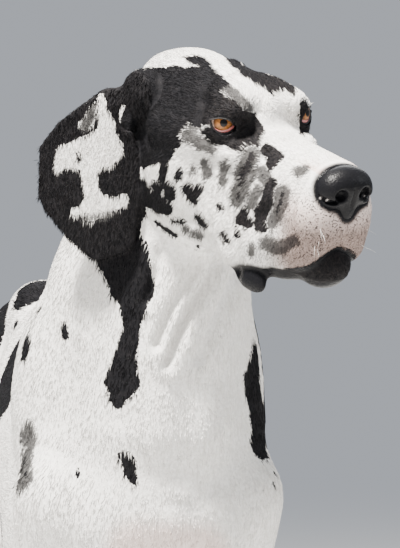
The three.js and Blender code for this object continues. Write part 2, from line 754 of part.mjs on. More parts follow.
// The length of a leg between two heights.
const over = (leg, z) => largest(leg.intersect(beyond([0, 0, z], [0, 0, 1])));
const under = (leg, z) => largest(leg.intersect(beyond([0, 0, z], [0, 0, -1])));
const span = (leg, low, high) => over(under(leg, high), low);

// The zone between two heights and two distances from the middle, on one side.
const sideSpan = (s, [x0, y0, z0], [x1, y1, z1]) => {
  const [low, high] = [s * y0, s * y1].sort((a, b) => a - b);
  return [[x0, low, z0], [x1, high, z1]];
};

for (const [side, s] of Object.entries(SIDES)) {
  const ankleX = 19 + STEP[side];
  const ankleY = s * LEG_OUT - s * 2;
  const legShape = foreLegField(s, STEP[side]);
  const lowShape = blend(26, [trunk, shoulderField(s), legShape]);
  const pawShape = blend(16, [legShape, pawField(ankleX, ankleY, FORE_PAW)]);
  const clawShape = clawField(ankleX, ankleY, FORE_PAW);
  const shoulder = zone(trunkZone, ...sideSpan(s, [-130, 40, 400], [130, 190, 800]), 8, 520);
  const leg = zone(lowShape, ...sideSpan(s, [-100, 50, 60], [100, 160, 500]), 5, 600);
  const toes = zone(pawShape, ...sideSpan(s, [-50, 40, -30], [150, 165, 110]), 3.4, 460);
  const claws = zone(clawShape, ...sideSpan(s, [60, 40, -12], [150, 165, 50]), 1.8, 130);
  const keep = legBox(s, FORE_BOXES, -GAP / 2);
  const foreLeg = leg.intersect(keep);
  nodes.set(`shoulder_${side}`, over(shoulder.intersect(keep).intersect(behindNeck), FORE_CUTS[0]));
  nodes.set(`forearm_${side}`, span(foreLeg, FORE_CUTS[1], FORE_CUTS[0]));
  nodes.set(`pastern_${side}`, span(foreLeg, FORE_CUTS[2], FORE_CUTS[1]));
  nodes.set(`fore_paw_${side}`, under(toes.add(claws).subtract(FLOOR), FORE_CUTS[2]));
  trunkLeft = trunkLeft.subtract(legBox(s, FORE_BOXES, GAP / 2));
}

for (const [side, s] of Object.entries(SIDES)) {
  const step = HIND_STEP[side];
  const ankleX = -694 - step;
  const ankleY = s * (HIND_OUT - 3) + spineSwing(-700);
  const [low, high] = [ankleY - 75, ankleY + 75];
  const topShape = swung(blend(26, [trunkField(), thighField(s, step), hindLegField(s, step)]));
  const lowShape = swung(blend(26, [thighField(s, step), hindLegField(s, step)]));
  const pawShape = blend(16, [swung(hindLegField(s, step)), pawField(ankleX, ankleY, HIND_PAW)]);
  const clawShape = clawField(ankleX, ankleY, HIND_PAW);
  const thigh = zone(topShape, [-760, low - 90, 420], [-400, high + 90, 840], 8, 600);
  const leg = zone(lowShape, [-800, low, 56], [-430, high, 520], 5, 600);
  const toes = zone(pawShape, [ankleX - 70, low, -30], [ankleX + 120, high, 110], 3.4, 460);
  const claws = zone(clawShape, [ankleX + 30, low, -12], [ankleX + 120, high, 50], 1.8, 130);
  const keep = legBox(s, HIND_BOXES, -GAP / 2).translate([0, SPINE_BEND, 0]);
  const hindLeg = leg.intersect(keep);
  nodes.set(`thigh_${side}`, over(thigh.intersect(keep), HIND_CUTS[0]));
  nodes.set(`lower_thigh_${side}`, span(hindLeg, HIND_CUTS[1], HIND_CUTS[0]));
  nodes.set(`rear_pastern_${side}`, span(hindLeg, HIND_CUTS[2], HIND_CUTS[1]));
  nodes.set(`hind_paw_${side}`, under(toes.add(claws).subtract(FLOOR), HIND_CUTS[2]));
  trunkLeft = trunkLeft.subtract(legBox(s, HIND_BOXES, GAP / 2).translate([0, SPINE_BEND, 0]));
}
nodes.set("torso", largest(trunkLeft));

const tailSolid = zone(swung(tailField()), [-840, -40, 240], [-600, 110, 800], 5, 260);
const rump = ["torso", "thigh_right", "thigh_left"].map((name) => swell(nodes.get(name)));
nodes.set("tail", largest(rump.reduce((left, part) => left.subtract(part), tailSolid)));

// Assembly, with the origin under the middle of the whole body

const COAT = { color: 0xe9e6e1, roughness: 0.75, metalness: 0 };
const PATCH = { color: 0x1c1b1d, roughness: 0.7, metalness: 0 };
const NOSE = { color: 0x17171a, roughness: 0.4, metalness: 0 };
const EYE = { color: 0x7a4a22, roughness: 0.15, metalness: 0 };
const finishOf = (name) =>
  name.startsWith("eye") ? EYE : name === "nose" ? NOSE : name.startsWith("ear") ? PATCH : COAT;

const dog = new THREE.Group();
for (const [name, body] of nodes) {
  const mesh = new THREE.Mesh(geometryOf(body), new THREE.MeshStandardMaterial(finishOf(name)));
  mesh.name = name;
  dog.add(mesh);
}
const extent = new THREE.Box3().setFromObject(dog);
const middle = extent.getCenter(new THREE.Vector3());
dog.position.set(-middle.x, -middle.y, -extent.min.z);

export default dog;
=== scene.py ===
"""Looks for a life-size great dane: one skin with its markings, short fur, eyes, nose, claws."""

import math

import bpy
import numpy as np
from mathutils import Euler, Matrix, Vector


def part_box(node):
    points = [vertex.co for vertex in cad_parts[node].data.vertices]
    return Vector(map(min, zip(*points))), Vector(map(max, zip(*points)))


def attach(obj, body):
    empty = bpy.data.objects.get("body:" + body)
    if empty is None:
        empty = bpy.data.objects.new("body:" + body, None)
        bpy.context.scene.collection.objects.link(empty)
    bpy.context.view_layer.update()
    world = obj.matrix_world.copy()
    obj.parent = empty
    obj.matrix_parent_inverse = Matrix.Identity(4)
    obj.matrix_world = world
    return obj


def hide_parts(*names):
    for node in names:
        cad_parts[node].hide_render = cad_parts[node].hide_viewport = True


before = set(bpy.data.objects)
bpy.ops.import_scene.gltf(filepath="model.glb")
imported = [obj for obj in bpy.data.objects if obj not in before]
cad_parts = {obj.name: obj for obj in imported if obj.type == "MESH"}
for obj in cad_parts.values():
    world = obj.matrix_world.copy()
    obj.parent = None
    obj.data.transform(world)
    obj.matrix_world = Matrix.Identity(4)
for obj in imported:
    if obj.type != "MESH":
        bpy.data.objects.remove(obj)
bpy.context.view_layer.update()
rng = np.random.default_rng(7)

# Sizes in millimetres, in the dog's own frame: it faces +X, its left is +Y, up is +Z

WITHERS = 820.0
CHEST_DEPTH = 0.49 * WITHERS
CHEST_WIDTH = 0.315 * WITHERS
LEG_OUT = 0.125 * WITHERS
HIND_OUT = 0.124 * WITHERS
ELBOW_Z = 0.53 * WITHERS
CARPUS_Z = 0.25 * WITHERS
HOCK_Z = 0.3 * WITHERS
FETLOCK_Z = 0.09 * WITHERS
SPINE_BEND = 30.0
RUMP_X = -560.0
HEAD_AT = np.array([301.0, 61.0, 992.0])
HEAD_TURN = (6.2, 14.2, 22.4)
MUZZLE = 160.0
SKULL_TOP = 48.0
EYE_OUT = 43.5
EYE_UP = 5.0
EYE_RADIUS = 13.2
EYE_TURN = 27.0
EAR_LENGTH = 184.0
EAR_WIDTH = 120.0
EAR_THICK = 5.0
TOE_PITCH = 22.0
FORE_PAW = 1.0
HIND_PAW = 0.92
FORE_STEP = {-1: 0.0, 1: 16.0}
HIND_STEP = {-1: 0.0, 1: 34.0}
SIDES = (-1, 1)
COAT_DEPTH = 1.4
HEAD_COAT_DEPTH = 0.7
ABOVE_FLOOR = 0.3
FAR = 90.0  # a field's value away from its own box
BOX_MARGIN = 55.0

# Zones of the coat; the trunk's also holds the legs, and the head's the jaw
HEAD, EAR, NECK, TRUNK, TAIL = range(1, 6)


def turn_matrix(turn):
    return np.array(Euler([math.radians(v) for v in turn], "XYZ").to_matrix())


HEAD_ROT = turn_matrix(HEAD_TURN)

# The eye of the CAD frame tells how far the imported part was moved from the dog's own frame.
eye_low, eye_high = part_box("eye_right")
EYE_HERE = (np.array(eye_low) + np.array(eye_high)) / 2 * 1000
MOVED = EYE_HERE - (HEAD_ROT @ np.array([-2.0, -EYE_OUT, EYE_UP]) + HEAD_AT)
MOVED[2] = 0.0


# Signed distances; a field takes an array of points

def ball(centre, radii, turn=(0, 0, 0)):
    rot = turn_matrix(turn).astype(np.float32)
    centre = np.array(centre, np.float32)
    radii = np.array(radii, np.float32)

    def field(p):
        q = ((p - centre) @ rot) / radii
        inner = np.sqrt((q * q).sum(1))
        outer = np.sqrt(((q / radii) ** 2).sum(1))
        return inner * (inner - 1) / np.maximum(outer, 1e-6)
    return field


def bar(a, ra, b, rb, flat=1.0):
    scale = np.array([1, 1 / flat, 1], np.float32)
    a = np.array(a, np.float32)
    line = (np.array(b, np.float32) - a) * scale
    length2 = float(line @ line)
    lean = 1 / flat ** 2 - 1

    def field(p):
        w = (p - a) * scale
        t = np.clip(w @ line / length2, 0, 1)
        q = w - t[:, None] * line
        far = np.sqrt((q * q).sum(1)) + 1e-6
        return (far - ra - t * (rb - ra)) / np.sqrt(1 + lean * q[:, 1] ** 2 / far ** 2)
    return field


def join(a, b, k):
    h = np.maximum(k - np.abs(a - b), 0) / k
    return np.minimum(a, b) - h * h * k * 0.25


def blend(k, fields):
    def field(p):
        d = fields[0](p)
        for other in fields[1:]:
            d = join(d, other(p), k)
        return d
    return field


def spine_swing(x):
    return SPINE_BEND * (np.minimum(x, 0) / RUMP_X) ** 2


def swung(field):
    def moved(p):
        q = p.copy()
        q[:, 1] -= spine_swing(p[:, 0])
        return field(q)
    return moved


def within(field, low, high):
    """The field near its own box, and a far value elsewhere."""
    low = np.array(low, np.float32) - BOX_MARGIN
    high = np.array(high, np.float32) + BOX_MARGIN

    def field_here(p):
        near = ((p > low) & (p < high)).all(1)
        d = np.full(len(p), FAR, np.float32)
        if near.any():
            d[near] = np.minimum(field(p[near]), FAR)
        return d
    return field_here


def sided(s, low, high):
    ys = sorted((s * low[1], s * high[1]))
    return (low[0], ys[0], low[2]), (high[0], ys[1], high[2])


def trunk_field():
    back = WITHERS - 14
    return blend(40, [
        ball([-95, 0, back - CHEST_DEPTH / 2], [235, CHEST_WIDTH / 2, CHEST_DEPTH / 2], [0, -2, 0]),
        ball([-270, 0, back - 168], [225, CHEST_WIDTH * 0.475, 168], [0, 6, 0]),
        ball([66, 0, 616], [96, 84, 96], [0, 10, 0]),
        bar([0, 0, 782], 34, [-130, 0, 772], 40, 1.15),
        bar([-100, 0, 738], 70, [-440, 0, 730], 72, 1.12),
        bar([-300, 0, 672], 108, [-490, 0, 698], 86, 0.94),
        ball([-570, 0, 716], [118, 88, 90], [0, -14, 0]),
        *[ball([-500, s * 46, 776], [62, 34, 36], [0, -12, 0]) for s in SIDES],
    ])


TAIL_LINE = [((-640, 0, 752), 32), ((-690, 0, 716), 25), ((-730, 0, 600), 18),
             ((-750, 0, 440), 12), ((-790, 0, 290), 6)]


def tail_field():
    pairs = zip(TAIL_LINE, TAIL_LINE[1:])
    return blend(14, [bar(a, ra, b, rb) for (a, ra), (b, rb) in pairs])


def shoulder_field(s):
    return blend(34, [
        bar([-66, s * 60, 772], 34, [48, s * 96, 612], 46, 0.72),
        ball([-6, s * 84, 724], [84, 44, 96], [0, 32, 0]),
        bar([60, s * 93, 606], 50, [-6, s * (LEG_OUT - 2), 478], 45, 0.84),
        ball([-50, s * 96, 556], [62, 34, 88], [0, -18, 0]),
        ball([96, s * 44, 590], [46, 46, 58]),
    ])


def fore_leg_field(s):
    out = s * LEG_OUT
    wrist = 2 + FORE_STEP[s]
    inner = out - s * 3
    return blend(20, [
        bar([-24, out, ELBOW_Z + 6], 38, [wrist - 2, inner, CARPUS_Z + 60], 25, 0.86),
        bar([-4, out + s * 4, ELBOW_Z - 14], 32, [wrist, out, CARPUS_Z + 96], 21, 0.9),
        ball([-60, out, ELBOW_Z + 8], [19, 19, 26]),
        bar([wrist, inner, CARPUS_Z + 56], 22, [wrist, inner, CARPUS_Z - 6], 25.5),
        ball([wrist - 23, inner, CARPUS_Z - 24], [9, 10, 13]),
        bar([wrist + 1, inner, CARPUS_Z - 18], 22.5, [wrist + 16, out - s * 2, FETLOCK_Z], 21.5, 1.08),
    ])


def thigh_field(s):
    step = HIND_STEP[s]
    return blend(38, [
        bar([-572, s * 60, 700], 88, [-508 - step * 0.3, s * HIND_OUT, 524], 56, 0.66),
        bar([-648, s * 52, 694], 54, [-592 - step * 0.4, s * 92, 486], 42, 0.72),
        ball([-478, s * 82, 596], [40, 32, 88], [0, -12, 0]),
        ball([-494 - step * 0.3, s * HIND_OUT, 502], [32, 29, 38], [0, 24, 0]),
    ])


def hind_leg_field(s):
    step = HIND_STEP[s]
    out = s * HIND_OUT
    inner = out - s * 5
    hock = -714 - step
    heel = [hock - 30, inner, HOCK_Z + 40]
    return blend(22, [
        bar([-520 - step * 0.3, out, 486], 40, [hock, inner, HOCK_Z + 12], 20, 0.84),
        bar([-588 - step * 0.5, out - s * 3, 456], 30, [-662 - step * 0.8, out - s * 4, 350], 15, 0.86),
        bar([-636 - step * 0.7, out - s * 4, 400], 12, heel, 11),
        ball(heel, [14, 14, 17]),
        ball([hock, inner, HOCK_Z + 8], [26, 19.5, 30], [0, 20, 0]),
        bar([hock - 8, inner, HOCK_Z], 20, [hock + 14, out - s * 3, FETLOCK_Z], 19.5, 1.04),
    ])


def toes(x, y, size):
    for off in (-1.5, -0.5, 0.5, 1.5):
        reach = size * (66 if abs(off) < 1 else 48)
        yield off, x + reach, y + off * size * TOE_PITCH


def paw_field(x, y, size):
    rows = []
    for off, tx, ty in toes(x, y, size):
        knuckle = [tx - size * 26, ty, size * 36]
        rows.append(blend(7 * size, [
            bar([x - size * 4, y + off * size * 12, size * 42], size * 15, knuckle, size * 14.5),
            bar(knuckle, size * 14.5, [tx, ty + off * size * 1.5, size * 15], size * 12.8),
            ball([tx - size * 2, ty, size * 8], [size * 15, size * 11, size * 11]),
        ]))
    palm = blend(14 * size, [
        bar([x - size * 3, y, size * 72], size * 22, [x + size * 4, y, size * 40], size * 25, 1.1),
        ball([x - size * 2, y, size * 17], [size * 31, size * 30, size * 22]),
    ])
    return blend(5 * size, [palm, *rows])


def claw_field(x, y, size):
    claws = []
    for off, tx, ty in toes(x, y, size):
        root = [tx + size * 4, ty + off * size * 1.5, size * 21]
        tip = [tx + size * 23, ty + off * size * 3, size * 7.5]
        claws.append(bar(root, size * 5.6, tip, size * 2.2))
    return blend(1, claws)


PAWS = [(19 + FORE_STEP[s], s * LEG_OUT - s * 2, FORE_PAW) for s in SIDES]
HIND_Y = float(spine_swing(np.array(-700.0)))
PAWS += [(-694 - HIND_STEP[s], s * (HIND_OUT - 3) + HIND_Y, HIND_PAW) for s in SIDES]


# Head, in its own frame: origin between the eyes, x to the nose, y to its left, z up

def skull_field():
    return blend(14, [
        blend(30, [
            bar([-114, 0, 0], SKULL_TOP - 2, [-34, 0, -4], SKULL_TOP - 1, 1.08),
            ball([-156, 0, 12], [26, 24, 20]),
            *[ball([-66, s * 44, -62], [58, 25, 60], [0, 20, 0]) for s in SIDES],
        ]),
        *[ball([-10, s * 28, 22], [27, 18, 13], [0, 12, s * 16]) for s in SIDES],
        *[bar([20, s * 39, -24], 13, [-86, s * 53, -18], 17) for s in SIDES],
        *[ball([-2, s * (EYE_OUT - 1), EYE_UP - 1], [18, 17, 17]) for s in SIDES],
    ])


def muzzle_field():
    rows = []
    for s in SIDES:
        rows += [
            bar([2, s * 11, -28], 25, [MUZZLE - 34, s * 10, -30], 22),
            bar([4, s * 24, -54], 28, [MUZZLE - 38, s * 17, -54], 25),
            bar([0, s * 40, -90], 30, [60, s * 30, -88], 26, 0.6),
            bar([32, s * 34, -112], 26, [MUZZLE - 46, s * 24, -86], 25, 0.68),
            ball([MUZZLE - 32, s * 13, -64], [21, 18, 26]),
        ]
    return blend(16, rows)


def jaw_field():
    return blend(14, [
        bar([-48, 0, -106], 30, [84, 0, -112], 20, 1.25),
        *[bar([-56, s * 38, -104], 22, [80, s * 20, -114], 17) for s in SIDES],
        ball([MUZZLE - 44, 0, -108], [28, 26, 25], [0, -8, 0]),
        *[ball([52, s * 38, -136], [25, 8, 13], [0, 8, 0]) for s in SIDES],
    ])


def throat_field():
    return blend(24, [ball([-112, 0, -64], [58, 52, 76]), ball([-52, 0, -108], [50, 44, 34])])


def neck_field():
    return blend(40, [
        bar([138, 0, 984], 60, [106, 0, 905], 78, 0.88),
        bar([106, 0, 905], 76, [58, 0, 815], 106, 0.88),
        bar([58, 0, 815], 104, [16, 0, 700], 130, 0.95),
        bar([140, 0, 850], 44, [122, 0, 690], 58, 1.15),
    ])


def nose_field():
    outer = blend(9, [
        ball([MUZZLE - 17, 0, -24], [18, 25, 17], [0, 14, 0]),
        *[ball([MUZZLE - 20, s * 15, -32], [17, 13, 15], [0, 0, s * 8]) for s in SIDES],
        ball([MUZZLE - 15, 0, -44], [10, 9, 15]),
    ])
    holes = blend(3, [
        *[ball([MUZZLE - 2, s * 13, -31], [10, 6.5, 6]) for s in SIDES],
        *[ball([MUZZLE - 12, s * 23, -36], [12, 7, 2.6], [0, 14, s * -34]) for s in SIDES],
        ball([MUZZLE + 3, 0, -42], [7, 0.9, 18]),
    ])
    return lambda p: -join(-outer(p), holes(p), 3)


def unit(v):
    v = np.asarray(v, float)
    return v / np.linalg.norm(v)


def unit_rows(v):
    return v / np.maximum(np.linalg.norm(v, axis=1, keepdims=True), 1e-9)


EAR_ROOT = np.array([-126.0, 62.0, 18.0])
EAR_ACROSS = unit([-0.69, 0.71, -0.1])
EAR_DOWN = np.array([0.05, 0.12, -1.0])
EAR_DOWN = unit(EAR_DOWN - EAR_ACROSS * (EAR_DOWN @ EAR_ACROSS))
EAR_FACE = np.cross(EAR_DOWN, EAR_ACROSS)
EAR_ROUND = 20.0
EAR_OUTLINE = [(0.15, 0.24), (0.30, 0.56), (0.44, 0.74), (0.54, 0.77), (0.64, 0.68), (0.78, 0.50),
               (0.86, 0.36), (0.83, 0.22), (0.60, 0.17), (0.35, 0.20)]


def outline_distance(u, v):
    best = np.full(len(u), 1e9)
    inside = np.zeros(len(u), bool)
    ring = [(a * EAR_LENGTH, b * EAR_WIDTH) for a, b in EAR_OUTLINE]
    for (au, av), (bu, bv) in zip(ring, ring[1:] + ring[:1]):
        eu, ev = bu - au, bv - av
        t = np.clip(((u - au) * eu + (v - av) * ev) / (eu * eu + ev * ev), 0, 1)
        best = np.minimum(best, np.hypot(u - au - t * eu, v - av - t * ev))
        if av != bv:
            inside ^= ((av > v) != (bv > v)) & (u < au + (v - av) / (bv - av) * eu)
    return np.where(inside, -best, best) - EAR_ROUND


def ear_field(s):
    base = ball([-128, 52, 2], [25, 19, 26])
    cup = ball([-136, 62, -20], [12, 12, 20])

    def field(p):
        q = p * np.array([1, s, 1], np.float32)
        w = q - EAR_ROOT
        u, v = w @ EAR_DOWN, w @ EAR_ACROSS
        curl = 9 * ((v - 0.42 * EAR_WIDTH) / (0.5 * EAR_WIDTH)) ** 2
        fold = 16 * np.maximum(0, 1 - u / 34) ** 2
        sheet = np.abs(w @ EAR_FACE + curl + fold) - EAR_THICK / 2
        flap = -join(-outline_distance(u, v), -sheet, 3)
        return -join(-join(flap, base(q), 12), cup(q), 4)
    return field


# An eye's own frame: h across to the dog's left, v up, f forward along the gaze
LID_HALF = 13.0
LID_UP = 7.0
LID_DOWN = 9.0
EYE_SLANT = 13.0


def eye_frame(s):
    gaze = turn_matrix((0, 0, s * EYE_TURN))
    slant = turn_matrix((s * EYE_SLANT, 0, 0))
    return np.array([-2.0, s * EYE_OUT, EYE_UP]), gaze @ slant


def lid_circles():
    for sag, way in ((LID_UP, 1), (LID_DOWN, -1)):
        radius = (LID_HALF ** 2 + sag ** 2) / (2 * sag)
        yield way * (sag - radius), radius


def opening_field(s):
    at, rot = eye_frame(s)

    def field(p):
        q = (p - at) @ rot
        lens = np.maximum(*[np.hypot(q[:, 1], q[:, 2] - c) - r for c, r in lid_circles()])
        sphere = np.sqrt((q * q).sum(1)) - EYE_RADIUS - 0.3
        return np.minimum(np.maximum(lens, -q[:, 0]), sphere)
    return field


def in_head(field):
    rot = HEAD_ROT.astype(np.float32)
    at = HEAD_AT.astype(np.float32)
    return lambda p: field((p - at) @ rot)


def to_head(p):
    return (p - HEAD_AT) @ HEAD_ROT


def from_head(p):
    return np.asarray(p) @ HEAD_ROT.T + HEAD_AT


HEAD_BOX = ((90, -80, 830), (480, 210, 1070))
GROUPS = {
    "trunk": within(swung(trunk_field()), (-700, -150, 340), (170, 190, 830)),
    "neck": within(neck_field(), (-120, -150, 560), (220, 150, 1050)),
    "head": within(in_head(blend(14, [skull_field(), muzzle_field(), throat_field()])), *HEAD_BOX),
    "jaw": within(in_head(jaw_field()), *HEAD_BOX),
    "tail": within(swung(tail_field()), (-840, -20, 270), (-600, 90, 800)),
}
for s in SIDES:
    side = "right" if s < 0 else "left"
    GROUPS["shoulder_" + side] = within(
        shoulder_field(s), *sided(s, (-130, 10, 430), (150, 150, 830)))
    GROUPS["fore_" + side] = within(fore_leg_field(s), *sided(s, (-90, 60, 50), (70, 145, 480)))
    GROUPS["thigh_" + side] = within(
        swung(thigh_field(s)), *sided(s, (-720, -30, 420), (-420, 190, 800)))
    GROUPS["hind_" + side] = within(
        swung(hind_leg_field(s)), *sided(s, (-800, 30, 60), (-460, 170, 540)))
    GROUPS["ear_" + side] = within(in_head(ear_field(s)), *HEAD_BOX)
    GROUPS["open_" + side] = within(in_head(opening_field(s)), *HEAD_BOX)
for name, (x, y, size) in zip(("paw_fr", "paw_fl", "paw_hr", "paw_hl"), PAWS):
    GROUPS[name] = within(paw_field(x, y, size), (x - 50, y - 60, -10), (x + 100, y + 60, 100))


def whole(p):
    g = {name: field(p) for name, field in GROUPS.items()}
    d = join(g["trunk"], g["neck"], 26)
    for s in ("right", "left"):
        for part in ("shoulder_", "thigh_", "fore_", "hind_"):
            d = join(d, g[part + s], 26)
    for name in ("paw_fr", "paw_fl", "paw_hr", "paw_hl"):
        d = join(d, g[name], 16)
    d = join(d, g["tail"], 20)
    d = join(d, g["head"], 30)
    d = join(d, g["jaw"], 2.5)
    d = join(join(d, g["ear_right"], 7), g["ear_left"], 7)
    for s in ("right", "left"):
        d = -join(-d, g["open_" + s], 1.2)
    return np.maximum(d, -p[:, 2] + 0.2)


def chunked(field, p, size=200000):
    return np.concatenate([field(p[i:i + size].astype(np.float32)) for i in range(0, len(p), size)])


# A skin on a grid whose lines are closer round the head and the paws

def grid_lines(*spans):
    return np.concatenate([np.arange(low, high, step) for low, high, step in spans])


BLOCK = 6  # samples along a block that is skipped where the surface is far
OUTSIDE = 50.0
STEEPEST = 1.35  # a field changes by at most this much for each millimetre
REACH_MORE = 3.0


def sample(field, axes):
    """The field at the grid's points, worked out only in blocks near the surface."""
    n = [len(a) for a in axes]
    value = np.full(n, OUTSIDE, np.float32)
    starts = [np.arange(0, m, BLOCK) for m in n]
    ends = [np.minimum(st + BLOCK, m - 1) for st, m in zip(starts, n)]
    low = np.stack(np.meshgrid(*[a[st] for a, st in zip(axes, starts)], indexing="ij"), -1)
    high = np.stack(np.meshgrid(*[a[e] for a, e in zip(axes, ends)], indexing="ij"), -1)
    middle = ((low + high) / 2).reshape(-1, 3)
    reach = np.linalg.norm(high - low, axis=-1).reshape(-1) / 2 * STEEPEST + REACH_MORE
    d = chunked(field, middle)
    index = np.stack(np.meshgrid(*starts, indexing="ij"), -1).reshape(-1, 3)
    for (i, j, k), v in zip(index[d < -reach], d[d < -reach]):
        value[i:i + BLOCK, j:j + BLOCK, k:k + BLOCK] = v
    near = index[np.abs(d) <= reach]
    offset = np.stack(np.meshgrid(*[np.arange(BLOCK)] * 3, indexing="ij"), -1).reshape(-1, 3)
    cells = (near[:, None, :] + offset[None]).reshape(-1, 3)
    cells = cells[(cells < np.array(n)).all(1)]
    points = np.stack([a[cells[:, m]] for m, a in enumerate(axes)], 1)
    value[cells[:, 0], cells[:, 1], cells[:, 2]] = chunked(field, points)
    return value


def surface(field, axes):
    """Quads on the zero level: one point in each cell that the surface crosses."""
    value = sample(field, axes)
    inside = value < 0
    n = np.array(value.shape)
    step = np.eye(3, dtype=int)
    corners = list(np.ndindex(2, 2, 2))
    mixed = np.zeros(n - 1, bool)
    for i, j, k in corners:
        shifted = inside[i:n[0] - 1 + i, j:n[1] - 1 + j, k:n[2] - 1 + k]
        mixed |= shifted != inside[:-1, :-1, :-1]
    cells = np.argwhere(mixed)
    number = np.full(n - 1, -1, np.int32)
    number[tuple(cells.T)] = np.arange(len(cells))

    def place(index):
        return np.stack([axes[m][index[:, m]] for m in range(3)], 1)

    total = np.zeros((len(cells), 3))
    count = np.zeros(len(cells))
    for axis in range(3):
        for corner in (c for c in corners if not c[axis]):
            start = cells + corner
            end = start + step[axis]
            va, vb = value[tuple(start.T)], value[tuple(end.T)]
            cross = (va < 0) != (vb < 0)
            t = np.where(cross, va / np.where(cross, va - vb, 1), 0)
            pa = place(start)
            total += np.where(cross[:, None], pa + t[:, None] * (place(end) - pa), 0)
            count += cross
    quads = []
    for axis in range(3):
        b, c = (axis + 1) % 3, (axis + 2) % 3
        edge = np.argwhere(np.diff(inside, axis=axis))
        across = edge[:, [b, c]]
        edge = edge[((across > 0) & (across < n[[b, c]] - 1)).all(1)]
        around = [db * step[b] + dc * step[c] for db, dc in ((-1, -1), (0, -1), (0, 0), (-1, 0))]
        ring = np.stack([number[tuple((edge + off).T)] for off in around], 1)
        flip = ~inside[tuple(edge.T)]
        ring[flip] = ring[flip][:, ::-1]
        quads.append(ring)
    return total / count[:, None], np.concatenate(quads)


def gradient(field, p, step=0.5):
    base = chunked(field, p)
    sides = [chunked(field, p + step * np.eye(3)[m]) - base for m in range(3)]
    g = np.stack(sides, 1) / step
    return base, g


def settle(field, p, depth, rounds=2, most=3.0):
    """Moves points on to the level that lies depth inside the field."""
    for _ in range(rounds):
        d, g = gradient(field, p)
        size = np.maximum((g * g).sum(1), 0.05)
        move = -(d + depth) / size
        step = move[:, None] * g
        length = np.linalg.norm(step, axis=1, keepdims=True)
        p = p + step * np.minimum(1, most / np.maximum(length, 1e-9))
    return p


def vertex_normals(p, quads):
    a = p[quads[:, 2]] - p[quads[:, 0]]
    b = p[quads[:, 3]] - p[quads[:, 1]]
    face = np.cross(a, b)
    n = np.zeros_like(p)
    for m in range(4):
        np.add.at(n, quads[:, m], face)
    return unit_rows(n)


# The photo's camera, in the dog's own frame

CAMERA_TURN = 12.0
CAMERA_FAR = 3500.0
CAMERA_SIDE = -60.6
CAMERA_Z = 956.0
FOCAL = 3640.0
IMAGE = (400, 548)
HORIZON = 160.0
OUT = np.array([math.cos(math.radians(CAMERA_TURN)), -math.sin(math.radians(CAMERA_TURN)), 0])
RIGHT = np.array([-OUT[1], OUT[0], 0])
CAMERA_AT = np.array([300.0, 64.0, CAMERA_Z]) + CAMERA_SIDE * RIGHT + CAMERA_FAR * OUT


def on_picture(p):
    """Where a point shows in the picture, in its pixels."""
    d = p - CAMERA_AT
    depth = -(d @ OUT)
    u = IMAGE[0] / 2 + FOCAL * (d @ RIGHT) / depth
    v = HORIZON - FOCAL * d[:, 2] / depth
    return u, v


# Markings. A stroke is a run of round dabs (across, down, radius) on the picture's plane.
# Each row paints its strokes black "b", white "w" or grey "g" over the rows before it.

